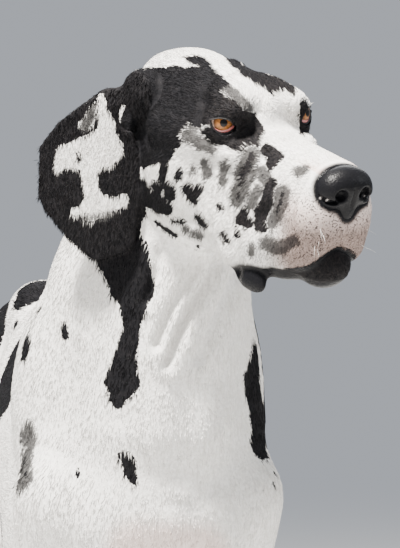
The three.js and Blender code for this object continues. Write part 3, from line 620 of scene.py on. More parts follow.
HEAD_MARKS = [
    ("b", [(128, 92, 20), (150, 88, 20), (176, 88, 22), (203, 86, 20), (216, 90, 15), (224, 100, 9)],
     [(140, 118, 25), (165, 112, 28), (190, 108, 24), (204, 102, 16)],
     [(142, 148, 20), (158, 143, 20), (172, 136, 14)], [(188, 60, 4), (204, 61, 6), (213, 68, 8)],
     [(236, 58, 9), (256, 70, 13), (276, 84, 12), (290, 92, 7)]),
    ("w", [(150, 60, 7), (165, 58, 8), (178, 57, 5), (186, 65, 3)],
     [(205, 54, 2.5), (216, 63, 4), (227, 74, 5), (240, 85, 4), (252, 95, 5)],
     [(252, 57, 2.5), (266, 63, 3), (276, 70, 2.5)],
     [(270, 108, 9), (284, 104, 11), (292, 112, 10), (285, 130, 12)],
     [(233, 92, 5), (243, 100, 6), (252, 110, 4)]),
    ("g", [(229, 92, 5), (238, 100, 6), (248, 108, 5)]),
    ("b", [(192, 118, 7), (204, 112, 6), (220, 110, 6), (238, 111, 6)]),
    ("g", [(190, 127, 3), (197, 130, 3)]),
    ("b", [(203, 106, 6), (218, 102, 8), (234, 105, 6)],
     [(238, 114, 6), (248, 121, 9), (256, 133, 9), (252, 146, 8), (240, 132, 8)],
     [(204, 132, 3), (210, 136, 5), (220, 141, 5), (231, 142, 6), (242, 146, 6)],
     [(210, 118, 5), (222, 115, 6), (234, 119, 8), (238, 130, 8), (226, 137, 7), (212, 133, 6)]),
    ("w", [(262, 112, 2.2), (267, 126, 3), (270, 138, 3)]),
    ("g", [(188, 136, 7), (200, 142, 7), (214, 149, 5)],
     [(252, 156, 10), (247, 174, 11), (241, 190, 9), (237, 202, 5)], [(262, 172, 7), (268, 184, 6)]),
    ("b", [(268, 150, 7), (276, 157, 8), (271, 164, 6)], [(164, 165, 4), (163, 177, 5)],
     [(180, 170, 4.4), (180, 176, 4.4)]),
    ("g", [(194, 169, 4.5)], [(205, 163, 6), (208, 173, 6)], [(226, 165, 5), (223, 181, 5)]),
    ("b", [(140, 184, 8), (147, 197, 9), (160, 205, 9), (168, 208, 7)],
     [(155, 184, 5), (158, 190, 5.5)], [(168, 187, 6.6), (171, 195, 6.6)],
     [(188, 187, 6), (194, 196, 8), (200, 188, 5)], [(198, 216, 4.4), (205, 224, 4.4)],
     [(220, 205, 3.2), (223, 208, 2.8)], [(174, 219, 3.2), (186, 222, 3.4)],
     [(157, 223, 3.6), (165, 229, 4), (173, 235, 4.6)]),
    ("g", [(186, 228, 4), (200, 234, 4.6)]),
    ("b", [(164, 238, 5), (171, 245, 5)], [(198, 247, 2.4)],
     [(245, 211, 5), (243, 219, 7), (249, 222, 6)],
     [(273, 184, 6), (268, 198, 10), (262, 212, 9), (261, 226, 7)]),
    ("g", [(282, 192, 8), (280, 208, 7), (272, 222, 6)], [(258, 190, 6), (253, 204, 5)]),
    ("b", [(224, 234, 3.6), (228, 240, 4)], [(238, 234, 4.2)]),
    ("g", [(251, 253, 4), (252, 246, 3)], [(266, 243, 7), (280, 248, 7), (294, 240, 6)],
     [(298, 172, 5), (306, 168, 4)]),
    ("b", [(174, 268, 3)], [(171, 280, 6), (179, 288, 8), (187, 295, 5)],
     [(303, 104, 4), (305, 118, 6), (304, 134, 4)]),
]
EAR_MARKS = [
    ("b", [(100, 160, 150)]),
    ("w", [(101, 95, 1.6), (103, 108, 4), (107, 122, 7), (108, 135, 10)],
     [(60, 168, 5), (66, 154, 10), (84, 149, 13), (100, 146, 16), (111, 150, 13)],
     [(70, 160, 8), (92, 160, 10), (106, 158, 9)], [(91, 165, 10), (92, 180, 9), (92, 196, 9)],
     [(74, 212, 4), (84, 206, 7), (98, 203, 9), (112, 204, 8), (124, 200, 5)]),
    ("g", [(84, 218, 3), (98, 216, 3), (112, 214, 3)]),
    ("b", [(69, 184, 14), (74, 196, 11)], [(104, 172, 6), (108, 183, 9), (110, 190, 6)],
     [(78, 154, 3.6), (79, 159, 3)]),
    ("g", [(94, 106, 3), (90, 117, 5), (84, 126, 5)]),
]
BODY_MARKS = [
    ("b", [(112, 215, 28), (115, 240, 27), (125, 262, 26), (132, 284, 23), (134, 306, 13),
      (132, 326, 9), (127, 344, 10), (124, 364, 14), (122, 382, 17), (117, 400, 8)],
     [(44, 283, 6), (28, 301, 15), (10, 324, 18), (-4, 348, 18)],
     [(24, 328, 4), (25, 344, 6), (23, 358, 4)], [(63, 322, 3), (65, 336, 4.5)],
     # painted shadow: the thin black line below runs down the shoulder's edge, in the fold between the
     # shoulder and the body behind
     [(12, 358, 2), (7, 378, 3), (4, 400, 3), (4, 418, 1.5)]),
    ("g", [(30, 424, 5), (28, 440, 9), (22, 458, 10), (26, 478, 8), (18, 488, 4)]),
    ("w", [(24, 448, 3)], [(34, 466, 2.6)]),
    ("b", [(78, 472, 1.8), (77, 476, 1.8)], [(126, 458, 7), (131, 470, 7), (134, 480, 5)],
     [(119, 457, 2.6)], [(165, 441, 1.4)],
     [(257, 339, 3), (255, 358, 6), (252, 378, 8), (257, 398, 11), (261, 420, 11), (262, 440, 12),
      (262, 454, 7)], [(272, 396, 7), (276, 420, 10), (282, 436, 8)], [(275, 473, 1.6)],
     [(274, 485, 1.4)]),
]

# Round patches that the picture doesn't show: (x, y, z, radius)
SOLID_MARKS = [
    (-60, -90, 800, 40), (-120, -70, 790, 75), (-190, -110, 740, 70), (-230, -120, 680, 42),
    (-330, 30, 800, 70), (-370, 90, 760, 55), (-350, 130, 690, 42), (-330, -130, 620, 34),
    (-370, -120, 640, 26), (-560, -60, 760, 72), (-620, -80, 700, 60), (-600, -110, 640, 38),
    (-520, 110, 640, 52), (-550, 130, 590, 50), (-540, 140, 540, 30), (-110, 140, 640, 50),
    (-60, 140, 590, 44), (-140, 130, 560, 30), (-200, 130, 520, 38), (-240, 120, 500, 24),
    (-100, -140, 560, 24), (-180, -130, 600, 18), (-260, -120, 560, 26), (-290, -110, 540, 20),
    (-30, -120, 380, 28), (-20, -120, 340, 20), (20, -120, 250, 14), (-10, 120, 320, 30),
    (20, 120, 210, 16), (-600, -110, 470, 26), (-620, -110, 430, 20), (-700, -100, 240, 20),
    (-690, 130, 330, 26), (-720, 130, 190, 16), (-735, 40, 560, 36), (-745, 40, 500, 26),
    (-780, 40, 330, 24), (-420, -100, 600, 16), (-450, 120, 700, 20), (-80, 10, 400, 30),
    (-250, 0, 440, 26), (-270, 20, 450, 18), (40, 100, 100, 14), (60, -110, 40, 12), (-40, 90, 760, 30),
    (-450, -40, 810, 30), (-430, -80, 780, 24), (60, 90, 880, 40), (40, 70, 830, 44), (90, 50, 950, 36),
    (250, 100, 1010, 38), (215, 80, 1000, 40), (270, 130, 985, 30), (290, 150, 935, 14),
    (260, 150, 920, 12), (330, 140, 930, 9), (240, 140, 950, 10), (360, 140, 930, 14),
    (375, 135, 910, 10), (300, 150, 900, 10), (400, 140, 930, 7), (200, 20, 1040, 26),
    (170, 0, 1020, 30), (130, -10, 1030, 34), (20, 122, 690, 40), (20, 118, 740, 38),
    (30, 110, 790, 34),
]
# The same in the head's own frame: round the ears' roots, on the skull and round the eyes
HEAD_SOLID_MARKS = [(-112, -60, -4, 40), (-112, 58, -4, 40), (-70, 42, 26, 40), (-20, 44, -6, 26),
                    (-2, -43, 5, 23), (-2, 43, 5, 17)]


def dab_distance(u, v, dabs):
    if len(dabs) == 1:
        return np.hypot(u - dabs[0][0], v - dabs[0][1]) - dabs[0][2]
    best = np.full(len(u), 1e9)
    for (ax, ay, ar), (bx, by, br) in zip(dabs, dabs[1:]):
        dx, dy = bx - ax, by - ay
        t = np.clip(((u - ax) * dx + (v - ay) * dy) / (dx * dx + dy * dy), 0, 1)
        best = np.minimum(best, np.hypot(u - ax - t * dx, v - ay - t * dy) - ar - t * (br - ar))
    return best


def patch_distance(p, patches):
    return np.minimum.reduce([np.linalg.norm(p - row[:3], axis=1) - row[3] for row in patches])


NO_MARK = 60.0


def paint(layers, u, v):
    """Signed distances in millimetres to black and to grey; both are negative inside a mark."""
    black = np.full(len(u), NO_MARK)
    grey = np.full(len(u), NO_MARK)
    for colour, *strokes in layers:
        for dabs in strokes:
            d = dab_distance(u, v, dabs)
            black = np.minimum(black, d) if colour == "b" else np.maximum(black, -d)
            if colour == "w":
                grey = np.maximum(grey, -d)
            elif colour == "g":
                grey = np.minimum(grey, d)
    return black, grey


def smooth(x, a, b):
    t = np.clip((x - a) / (b - a), 0, 1)
    return t * t * (3 - 2 * t)


EAR_INNER_BLACK = -20.0
PICTURE_END = (545, 575)
SHOWN_FROM_X = -60


def markings(p, n, zone):
    """Distances to black and grey: as painted where the photo shows the dog, else from the patches.

    The third value says how ragged an edge is: 1 on the body where the photo doesn't show it.
    """
    u, v = on_picture(p)
    facing = (n * unit_rows(CAMERA_AT - p)).sum(1)
    on_head, on_ear = zone == HEAD, zone == EAR
    painted = [paint(layers, u, v) for layers in (HEAD_MARKS, EAR_MARKS, BODY_MARKS)]
    shown_black, shown_grey = (np.where(on_head, head, np.where(on_ear, ear, body))
                               for head, ear, body in zip(*painted))
    hidden = np.minimum(NO_MARK, patch_distance(p, SOLID_MARKS))
    on_skull = np.minimum(hidden, patch_distance(to_head(p), HEAD_SOLID_MARKS))
    hidden = np.where(on_head, on_skull, np.where(on_ear, EAR_INNER_BLACK, hidden))
    shown = np.where(on_head, smooth(facing, -0.06, 0.10), smooth(facing, 0.04, 0.24))
    amount = shown * (1 - smooth(v, *PICTURE_END)) * (p[:, 0] > SHOWN_FROM_X)
    black = hidden * (1 - amount) + shown_black * amount
    grey = NO_MARK * (1 - amount) + shown_grey * amount
    return black, grey, (1 - amount) * (zone > EAR)


# Which way the hair lies

def hair_lie(p, n, zone):
    """Along the skin: back on the trunk, down on the legs, chest, neck and ears; forward on the feet."""
    lie = np.tile(np.array([-1.0, 0.0, -0.25]), (len(p), 1))
    x, y, z = p.T
    low = smooth(z, 560, 430)[:, None]
    lie = lie * (1 - low) + np.array([-0.15, 0, -1.0]) * low
    chest = (smooth(x, -60, 60) * smooth(z, 950, 860))[:, None]
    lie = lie * (1 - chest) + np.array([-0.25, 0, -1.0]) * chest
    neck = (smooth(z, 790, 880))[:, None]
    lie = lie * (1 - neck) + np.array([-0.5, 0.0, -0.85]) * neck
    back = -HEAD_ROT[:, 0]
    down = -HEAD_ROT[:, 2]
    h = to_head(p)
    cheek = smooth(h[:, 2], 0, -60)[:, None]
    on_head = back * (1 - 0.45 * cheek) + down * (0.15 + 0.75 * cheek)
    lie = np.where((zone == HEAD)[:, None], on_head, lie)
    ear_down = HEAD_ROT @ EAR_DOWN
    lie = np.where((zone == EAR)[:, None], ear_down + 0.2 * back, lie)
    tail = ((zone == TAIL) & (z < 760))[:, None]
    lie = np.where(tail, np.array([-0.25, 0, -1.0]), lie)
    foot = (z < 70)[:, None]
    lie = np.where(foot, np.array([0.8, 0, -0.6]), lie)
    return unit_rows(lie - n * (lie * n).sum(1, keepdims=True))


# Meshes and materials

def to_metres(p):
    return (np.asarray(p) + MOVED) / 1000


def mesh_object(name, p, faces, smooth_faces=True):
    """p in millimetres; faces an array with 3 or 4 corners in each row."""
    mesh = bpy.data.meshes.new(name)
    faces = np.asarray(faces, np.int32)
    corners = faces.shape[1]
    mesh.vertices.add(len(p))
    mesh.vertices.foreach_set("co", to_metres(p).astype(np.float32).ravel())
    mesh.loops.add(faces.size)
    mesh.loops.foreach_set("vertex_index", faces.ravel())
    mesh.polygons.add(len(faces))
    mesh.polygons.foreach_set("loop_start", np.arange(0, faces.size, corners, dtype=np.int32))
    mesh.polygons.foreach_set("loop_total", np.full(len(faces), corners, np.int32))
    mesh.update(calc_edges=True)
    if smooth_faces:
        mesh.polygons.foreach_set("use_smooth", np.ones(len(faces), bool))
    obj = bpy.data.objects.new(name, mesh)
    bpy.context.scene.collection.objects.link(obj)
    return obj


def dress(obj, look):
    obj.data.materials.append(look)
    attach(obj, "root")


def merged(meshes):
    points, faces, count = [], [], 0
    for p, f in meshes:
        points.append(p)
        faces.append(np.asarray(f) + count)
        count += len(p)
    return np.concatenate(points), np.concatenate(faces)


def sheet(rows, columns, closed=True):
    """Quads between rows of points; closed joins each row's last point to its first."""
    return [[i * columns + j, i * columns + (j + 1) % columns,
             (i + 1) * columns + (j + 1) % columns, (i + 1) * columns + j]
            for i in range(rows - 1) for j in range(columns if closed else columns - 1)]


def set_value(obj, name, values):
    kind = "FLOAT" if np.ndim(values) == 1 else "FLOAT_VECTOR"
    layer = obj.data.attributes.new(name, kind, "POINT")
    key = "value" if kind == "FLOAT" else "vector"
    layer.data.foreach_set(key, np.asarray(values, np.float32).ravel())


class Nodes:
    """Short hand for a material's node tree."""

    def __init__(self, name):
        self.material = bpy.data.materials.new(name)
        self.material.use_nodes = True
        self.tree = self.material.node_tree
        self.shader = self.tree.nodes["Principled BSDF"]

    def set(self, **values):
        for key, value in values.items():
            self.shader.inputs[key.replace("_", " ")].default_value = value

    def add(self, kind, **options):
        node = self.tree.nodes.new("ShaderNode" + kind)
        for key, value in options.items():
            setattr(node, key, value)
        return node

    def feed(self, socket, value):
        if isinstance(value, bpy.types.NodeSocket):
            self.tree.links.new(value, socket)
        else:
            socket.default_value = value

    def value(self, name):
        return self.add("Attribute", attribute_name=name).outputs["Fac"]

    def vector(self, name):
        return self.add("Attribute", attribute_name=name).outputs["Vector"]

    def math(self, operation, a, b=0.0, c=0.0):
        node = self.add("Math", operation=operation)
        for socket, v in zip(node.inputs, (a, b, c)):
            self.feed(socket, v)
        return node.outputs[0]

    def plus(self, a, b):
        return self.math("ADD", a, b)

    def times(self, a, b):
        return self.math("MULTIPLY", a, b)

    def ramp(self, value, low, high, to_low=0.0, to_high=1.0):
        node = self.add("MapRange", interpolation_type="SMOOTHSTEP")
        for key, v in (("Value", value), ("From Min", low), ("From Max", high),
                       ("To Min", to_low), ("To Max", to_high)):
            self.feed(node.inputs[key], v)
        return node.outputs["Result"]

    def mapped(self, where, **values):
        node = self.add("Mapping")
        self.feed(node.inputs["Vector"], where)
        for key, v in values.items():
            node.inputs[key].default_value = v
        return node.outputs["Vector"]

    def noise(self, where, scale, detail=3.0, roughness=0.5):
        node = self.add("TexNoise")
        self.feed(node.inputs["Vector"], where)
        self.feed(node.inputs["Scale"], scale)
        self.feed(node.inputs["Detail"], detail)
        self.feed(node.inputs["Roughness"], roughness)
        return node.outputs["Fac"]

    def swing(self, width, *noise):
        """Noise about zero, at most width from end to end."""
        return self.times(self.math("SUBTRACT", self.noise(*noise), 0.5), width)

    def mix(self, amount, a, b):
        node = self.add("Mix", data_type="RGBA")
        self.feed(node.inputs[0], amount)
        self.feed(node.inputs[6], a)
        self.feed(node.inputs[7], b)
        return node.outputs[2]

    def bump(self, height, distance, strength=1.0):
        node = self.add("Bump")
        self.feed(node.inputs["Height"], height)
        node.inputs["Distance"].default_value = distance
        node.inputs["Strength"].default_value = strength
        self.tree.links.new(node.outputs["Normal"], self.shader.inputs["Normal"])


WHITE = (0.80, 0.785, 0.76, 1)
WHITE_DIM = (0.62, 0.60, 0.575, 1)
BLACK = (0.005, 0.005, 0.006, 1)
BLACK_SOFT = (0.009, 0.0085, 0.0095, 1)
PINK = (0.62, 0.40, 0.34, 1)
# the lips' own brown, also used as painted shade low on the muzzle's front
LIP_BROWN_AND_SHADE = (0.13, 0.085, 0.07, 1)


GRIZZLE = (0.12, 0.10, 0.09, 1)
WET_BLACK = (0.006, 0.006, 0.007, 1)


def coat_material(name, tufts):
    """White coat with torn marks; skin and tufts read the same values at the hair's root.

    Noise scales are in waves per metre, and widths of swings in millimetres.
    """
    m = Nodes(name)
    root = m.vector("root")
    slanted = m.mapped(root, Rotation=(0.6, 0.5, 0.8))
    tear = m.plus(m.swing(9.0, slanted, 70.0, 2.0), m.swing(6.0, root, 420.0, 2.0, 0.6))
    wide = m.swing(80.0, slanted, 14.0, 4.0, 0.6)
    edge = m.plus(m.times(m.value("tear"), tear), m.times(m.value("ragged"), wide))
    grey = m.value("grey")
    in_black = m.ramp(m.plus(m.value("black"), edge), 0.5, -0.5)
    in_grey = m.ramp(m.plus(grey, edge), 3.0, -3.5)
    core = m.ramp(m.plus(grey, m.times(tear, 1.5)), -2.5, -8.0)
    strand = m.noise(slanted, 1400.0, 1.0)
    strands = m.plus(strand, m.times(in_grey, 0.42))
    salted = m.times(m.ramp(in_grey, 0.0, 0.2), m.ramp(strands, 0.54, 0.72))
    tick = m.times(m.value("tick"), m.ramp(m.noise(slanted, 560.0, 2.0), 0.545, 0.61))
    in_grey = m.math("MAXIMUM", core, m.times(salted, 0.92))
    dark = m.math("MAXIMUM", m.math("MAXIMUM", in_black, in_grey), tick)
    white = m.mix(m.ramp(m.noise(root, 300.0, 3.0), 0.3, 0.75), WHITE, WHITE_DIM)
    white = m.mix(m.times(m.value("pink"), 0.75), white, PINK)
    # brown of the lips, and painted shade on the lower front of the muzzle
    white = m.mix(m.value("lip_brown_and_shade"), white, LIP_BROWN_AND_SHADE)
    black = m.mix(m.ramp(m.noise(root, 240.0, 2.0), 0.35, 0.7), BLACK, BLACK_SOFT)
    black = m.mix(m.times(m.value("grizzle"), m.ramp(strand, 0.5, 0.62)), black, GRIZZLE)
    colour = m.mix(m.value("wet"), m.mix(dark, white, black), WET_BLACK)
    m.feed(m.shader.inputs["Base Color"], colour)
    m.feed(m.shader.inputs["Roughness"], m.ramp(m.value("wet"), 0.0, 1.0, 0.72, 0.2))
    m.set(Specular_IOR_Level=0.06)
    if not tufts:
        hair = m.noise(m.mapped(root, Scale=(1.0, 1.0, 0.35)), 1300.0, 2.0)
        m.bump(m.plus(m.times(hair, 0.7), m.noise(root, 500.0, 2.0)), 0.0007, 0.8)
    return m.material


def plain_material(name, colour, rough, bump=None, **values):
    m = Nodes(name)
    m.set(Base_Color=colour, Roughness=rough, **values)
    if bump:
        scale, distance = bump
        where = m.add("TexCoord").outputs["Object"]
        cells = m.add("TexVoronoi", feature="SMOOTH_F1")
        m.feed(cells.inputs["Vector"], where)
        cells.inputs["Scale"].default_value = scale
        m.bump(cells.outputs["Distance"], distance)
    return m.material


# The skin

BODY_STEP = 5.0
HEAD_STEP = 2.0
axes = [
    grid_lines((-870, 110, BODY_STEP), (110, 160, 3.0), (160, 480, HEAD_STEP)),
    grid_lines((-170, -70, BODY_STEP), (-70, -50, 3.0), (-50, 190, HEAD_STEP), (190, 230, BODY_STEP)),
    grid_lines((-8, 100, 3.5), (100, 836, BODY_STEP), (836, 1075, HEAD_STEP)),
]
points, quads = surface(whole, axes)
points = settle(whole, points, 0.0)
group_names = [k for k in GROUPS if not k.startswith("open")]


def zones_of(p):
    """The zone of each point, and the number of the group whose field is the lowest there."""
    code = {"head": HEAD, "jaw": HEAD, "neck": NECK, "tail": TAIL, "ear_right": EAR, "ear_left": EAR}
    values = np.stack([chunked(GROUPS[k], p) for k in group_names])
    best = values.argmin(0)
    zone = np.array([code.get(k, TRUNK) for k in group_names])[best]
    h = to_head(p)
    not_ear = (zone == EAR) & (np.abs(h[:, 1]) < 58) & (h[:, 2] > -20)
    zone[not_ear] = HEAD
    zone[(zone == NECK) & (h[:, 2] > -60) & (h[:, 0] > -170)] = HEAD
    return zone, best


zone, nearest = zones_of(points)
normals = vertex_normals(points, quads)
local = to_head(points)
head_like = (zone == HEAD) | (zone == EAR)
depth = np.where(head_like, HEAD_COAT_DEPTH, COAT_DEPTH)
points = points - normals * depth[:, None]
points[:, 2] = np.maximum(points[:, 2], ABOVE_FLOOR)

# Folds: each is a run of dabs on the picture's plane with a depth in millimetres
FOLDS = [
    (8.0, (218, 262, 4), (205, 285, 5), (190, 310, 6), (177, 338, 7), (168, 362, 6)),
    (6.0, (198, 262, 4), (184, 288, 5), (168, 316, 6), (158, 345, 6)),
    (5.0, (234, 272, 5), (224, 300, 6), (210, 330, 7), (200, 356, 7)),
    (3.5, (160, 250, 5), (156, 275, 6), (146, 300, 6)),
    (3.5, (196, 372, 16), (190, 420, 20), (180, 470, 20)),
    (2.0, (120, 420, 12), (140, 470, 14), (165, 505, 14)),
    (2.0, (228, 440, 12), (214, 480, 14), (196, 508, 14)),
    (1.6, (226, 76, 4), (244, 95, 5), (258, 114, 5)),
    (1.3, (203, 103, 3), (220, 98, 3), (238, 104, 4)),
    (1.2, (206, 141, 3), (222, 147, 3), (240, 150, 4)),
    (1.0, (250, 128, 4), (262, 146, 5), (264, 164, 5)),
    (1.2, (243, 232, 6), (262, 218, 7), (280, 196, 7)),
]


RIDGE_HIGH = 0.25  # the ridge beside a fold, as a share of its depth
RIDGE_AT = 2.1  # in the fold's own widths
RIDGE_WIDE = 1.3


def folds(p, n, zone):
    u, v = on_picture(p)
    front = smooth(n @ OUT, 0.0, 0.35) * (zone != EAR)
    moved = np.zeros(len(p))
    for deep, *dabs in FOLDS:
        width = np.mean([r for _, _, r in dabs])
        d = dab_distance(u, v, [(x, y, 0.0) for x, y, _ in dabs])
        groove = np.exp(-(d / width) ** 2)
        ridge = np.exp(-((d - RIDGE_AT * width) / (RIDGE_WIDE * width)) ** 2)
        fade = 1 - smooth(np.abs(v - np.mean([y for _, y, _ in dabs])), 60, 90)
        moved += deep * (RIDGE_HIGH * ridge - groove) * front * fade
    return moved


points = points + normals * folds(points, normals, zone)[:, None]
normals = vertex_normals(points, quads)


PINK_CHEST = [(135, 548, 30), (200, 552, 30)]  # dabs on the picture's plane


def coat_values(p, n, zone, local):
    """What coat_material reads. Places are in millimetres in the head's own frame."""
    black, grey, ragged = markings(p, n, zone)
    x, z = local[:, 0], local[:, 2]
    on_head = zone == HEAD
    front = on_head * smooth(x, 84, 124)
    muzzle = front * smooth(z, -22, -52)
    tick = 0.85 * on_head * smooth(x, 24, 92) * smooth(z, -14, -44)
    tear = np.where(on_head | (zone == EAR), 0.85, 1.0)
    grizzle = on_head * smooth(x, -60, 20) * 0.12 + (zone == EAR) * 0.05

    # pink above the nose, on the muzzle and low on the chest; brown lips, and painted shade that darkens
    # the muzzle's front towards the lips
    bridge = front * smooth(z, -4, -16) * (1 - smooth(z, -18, -30)) * (np.abs(local[:, 1]) < 24)
    chest = smooth(dab_distance(*on_picture(p), PINK_CHEST), 10, -14)
    chest = chest * (zone > EAR) * smooth(p[:, 0], 60, 90)
    pink = np.maximum.reduce([0.9 * bridge, 0.62 * muzzle, 0.55 * chest])
    lips = on_head * smooth(x, 70, 116) * smooth(z, -74, -96)
    # the lips' own brown, and painted shade that grows darker down the muzzle's front
    lip_brown_and_shade = 0.8 * np.maximum(lips, muzzle * smooth(z, -38, -78))

    # black edge of the lips, and a black chin: partly the dark lips and chin, partly painted shade under
    # the jaw
    jaw_d = chunked(GROUPS["jaw"], p)
    head_d = chunked(GROUPS["head"], p)
    from_line = np.abs(jaw_d - head_d)
    # the front of the lower jaw painted black: the lips' and chin's own black, and painted shade under
    # the jaw
    chin_black_and_shade = on_head * smooth(head_d - jaw_d, -1.0, 2.5) * smooth(x, 56, 90)
    black = np.where(chin_black_and_shade > 0.3, np.minimum(black, 3 - 8 * chin_black_and_shade), black)
    lip_edge = on_head * smooth(from_line, 9, 4) * smooth(z, -74, -88) * smooth(x, 84, 120)
    black = np.where(lip_edge > 0.3, np.minimum(black, 2 - 5 * lip_edge), black)

    # bare wet skin: between the lips, the hanging lip's tip, the lids' rims and round the nose
    mouth = on_head * smooth(from_line, 5, 1.5) * smooth(z, -78, -90) * (x > 10)
    pendant = on_head * (jaw_d < head_d) * smooth(x, 16, 26) * smooth(z, -116, -124)
    wet = [mouth, pendant, on_head * smooth(chunked(nose_field(), local), 6.0, 2.5)]
    for s in SIDES:
        at, rot = eye_frame(s)
        q = (local - at) @ rot
        lens = np.maximum(*[np.hypot(q[:, 1], q[:, 2] - c) - r for c, r in lid_circles()])
        wet.append(smooth(lens, 2.6, 1.2) * (q[:, 0] > 2))
    return dict(black=black, grey=grey, tick=tick, pink=pink, lip_brown_and_shade=lip_brown_and_shade,
                wet=np.clip(np.maximum.reduce(wet), 0, 1), grizzle=grizzle, tear=tear, ragged=ragged)


values = coat_values(points, normals, zone, local)


# An unwrap of the skin's own shape: each part is laid flat from the six ways it can face

ISLAND_GAP = 8.0


def unwrap(p, quads, nearest):
    face_n = np.cross(p[quads[:, 2]] - p[quads[:, 0]], p[quads[:, 3]] - p[quads[:, 1]])
    axis = np.abs(face_n).argmax(1)
    sign = (face_n[np.arange(len(axis)), axis] > 0).astype(int)
    island = nearest[quads[:, 0]] * 6 + axis * 2 + sign
    flat = np.zeros((len(quads), 4, 2))
    boxes = []
    for key in np.unique(island):
        pick = island == key
        a = axis[pick][0]
        kept = [m for m in range(3) if m != a]
        uv = p[quads[pick]][:, :, kept]
        low, high = uv.min((0, 1)), uv.max((0, 1))
        boxes.append([key, low, high - low])
        flat[pick] = uv - low
    boxes.sort(key=lambda b: -b[2][1])
    width = math.sqrt(sum((b[2][0] + ISLAND_GAP) * (b[2][1] + ISLAND_GAP) for b in boxes)) * 1.12
    x = y = row = 0.0
    for key, low, size in boxes:
        if x + size[0] + ISLAND_GAP > width and x > 0:
            x, y, row = 0.0, y + row, 0.0
        flat[island == key] += np.array([x, y]) + ISLAND_GAP / 2
        x += size[0] + ISLAND_GAP
        row = max(row, size[1] + ISLAND_GAP)
    return flat / max(width, y + row)


flat = unwrap(points, quads, nearest)
skin = mesh_object("skin", points, quads)
set_value(skin, "root", to_metres(points))
for key, v in values.items():
    set_value(skin, key, v)
skin_map = skin.data.uv_layers.new(name="OFBake")
skin_map.data.foreach_set("uv", flat.astype(np.float32).ravel())

FLESH = ["head", "lower_jaw", "ear_right", "ear_left", "neck", "torso", "tail"]
for s in ("right", "left"):
    FLESH += [part + s for part in ("shoulder_", "forearm_", "pastern_", "fore_paw_", "thigh_",
                                    "lower_thigh_", "rear_pastern_", "hind_paw_")]
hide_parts(*FLESH)
dress(skin, coat_material("coat_skin", False))


# Short fur: closed slim locks, widest near the middle, sunk at the root and lying along the skin

LOCK_FACES = np.array([[0, 2, 1], [0, 3, 2], [0, 1, 3], [4, 1, 2], [4, 2, 3], [4, 3, 1]])
LOCK_PATCH = np.array([(-1, -1), (1, -1), (1, 0), (1, 1), (-1, 1)]) * 0.0015
LOCK_SUNK = 0.9
WIDEST_AT = 0.4
STRAY = 0.16
PIECE_LOCKS = 32000


def pick_roots(count, weight):
    a, b, c, d = (points[quads[:, m]] for m in range(4))
    area = 0.5 * np.linalg.norm(np.cross(c - a, d - b), axis=1)
    share = area * weight[quads].mean(1)
    total = np.cumsum(share)
    face = np.searchsorted(total, rng.random(count) * total[-1])
    s, t = rng.random(count), rng.random(count)
    w = np.stack([(1 - s) * (1 - t), s * (1 - t), s * t, (1 - s) * t], 1)
    return face, w


def at_roots(data, face, w):
    corner = data[quads[face]]
    return (corner * (w[:, :, None] if data.ndim > 1 else w)).sum(1)


def fur(name, count, weight, length, width, lift):
    """Scatters locks over the skin by weight, and joins them into pieces of PIECE_LOCKS."""
    face, w = pick_roots(count, weight)
    at = at_roots(points, face, w)
    n = unit_rows(at_roots(normals, face, w))
    lie = hair_lie(at, n, zone[quads[face, 0]])
    stray = rng.normal(0, STRAY, len(at))[:, None]
    lie = unit_rows(lie + np.cross(n, lie) * stray)
    across = np.cross(n, lie)
    size = at_roots(lock_size, face, w) * rng.uniform(0.7, 1.25, len(at))
    long = (length * size)[:, None]
    wide = (width * size * rng.uniform(0.8, 1.2, len(at)))[:, None]
    high = (lift * size * rng.uniform(0.5, 1.3, len(at)))[:, None]
    middle = at + lie * long * WIDEST_AT
    p = np.stack([
        at - n * LOCK_SUNK,
        middle - across * wide / 2 + n * high * 0.25,
        middle + n * (high * 0.6 + wide * 0.22),
        middle + across * wide / 2 + n * high * 0.25,
        at + lie * long + n * high,
    ], 1)
    p[:, :, 2] = np.maximum(p[:, :, 2], ABOVE_FLOOR)
    roots = to_metres(at)
    base = flat[face].mean(1)
    data = {key: at_roots(v, face, w) for key, v in values.items()}
    order = np.lexsort((at[:, 0] // 60, at[:, 2] // 200))
    for number, start in enumerate(range(0, len(order), PIECE_LOCKS)):
        rows = order[start:start + PIECE_LOCKS]
        faces = (LOCK_FACES[None] + 5 * np.arange(len(rows))[:, None, None]).reshape(-1, 3)
        piece = mesh_object(f"{name}_{number + 1}", p[rows].reshape(-1, 3), faces)
        set_value(piece, "root", np.repeat(roots[rows], 5, 0))
        for key, v in data.items():
            set_value(piece, key, np.repeat(v[rows], 5))
        layer = piece.data.uv_layers.new(name="OFBake")
        corner = (base[rows][:, None] + LOCK_PATCH).reshape(-1, 2)[faces.ravel()]
        layer.data.foreach_set("uv", corner.astype(np.float32).ravel())
        dress(piece, fur_look)


fur_look = coat_material("coat_locks", True)
bare = values["wet"] > 0.05
under_foot = points[:, 2] < 6
nose_near = (zone == HEAD) & (local[:, 0] > 128) & (local[:, 2] > -62)
lock_size = np.ones(len(points))
lock_size[(zone == HEAD) & (local[:, 0] > 60)] = 0.7
lock_size[(zone > EAR) & (points[:, 2] < 90)] = 0.6
on_face = head_like & ~bare & ~nose_near
on_body = ~head_like & ~under_foot
fur("coat_head", 80000, on_face.astype(float), length=6.5, width=0.62, lift=0.42)
fur("coat_body", 150000, on_body.astype(float), length=9.5, width=1.15, lift=0.42)


# Nose, eyes, lids, claws and whiskers

def field_mesh(field, low, high, step):
    return surface(field, [np.arange(a, b, step) for a, b in zip(low, high)])


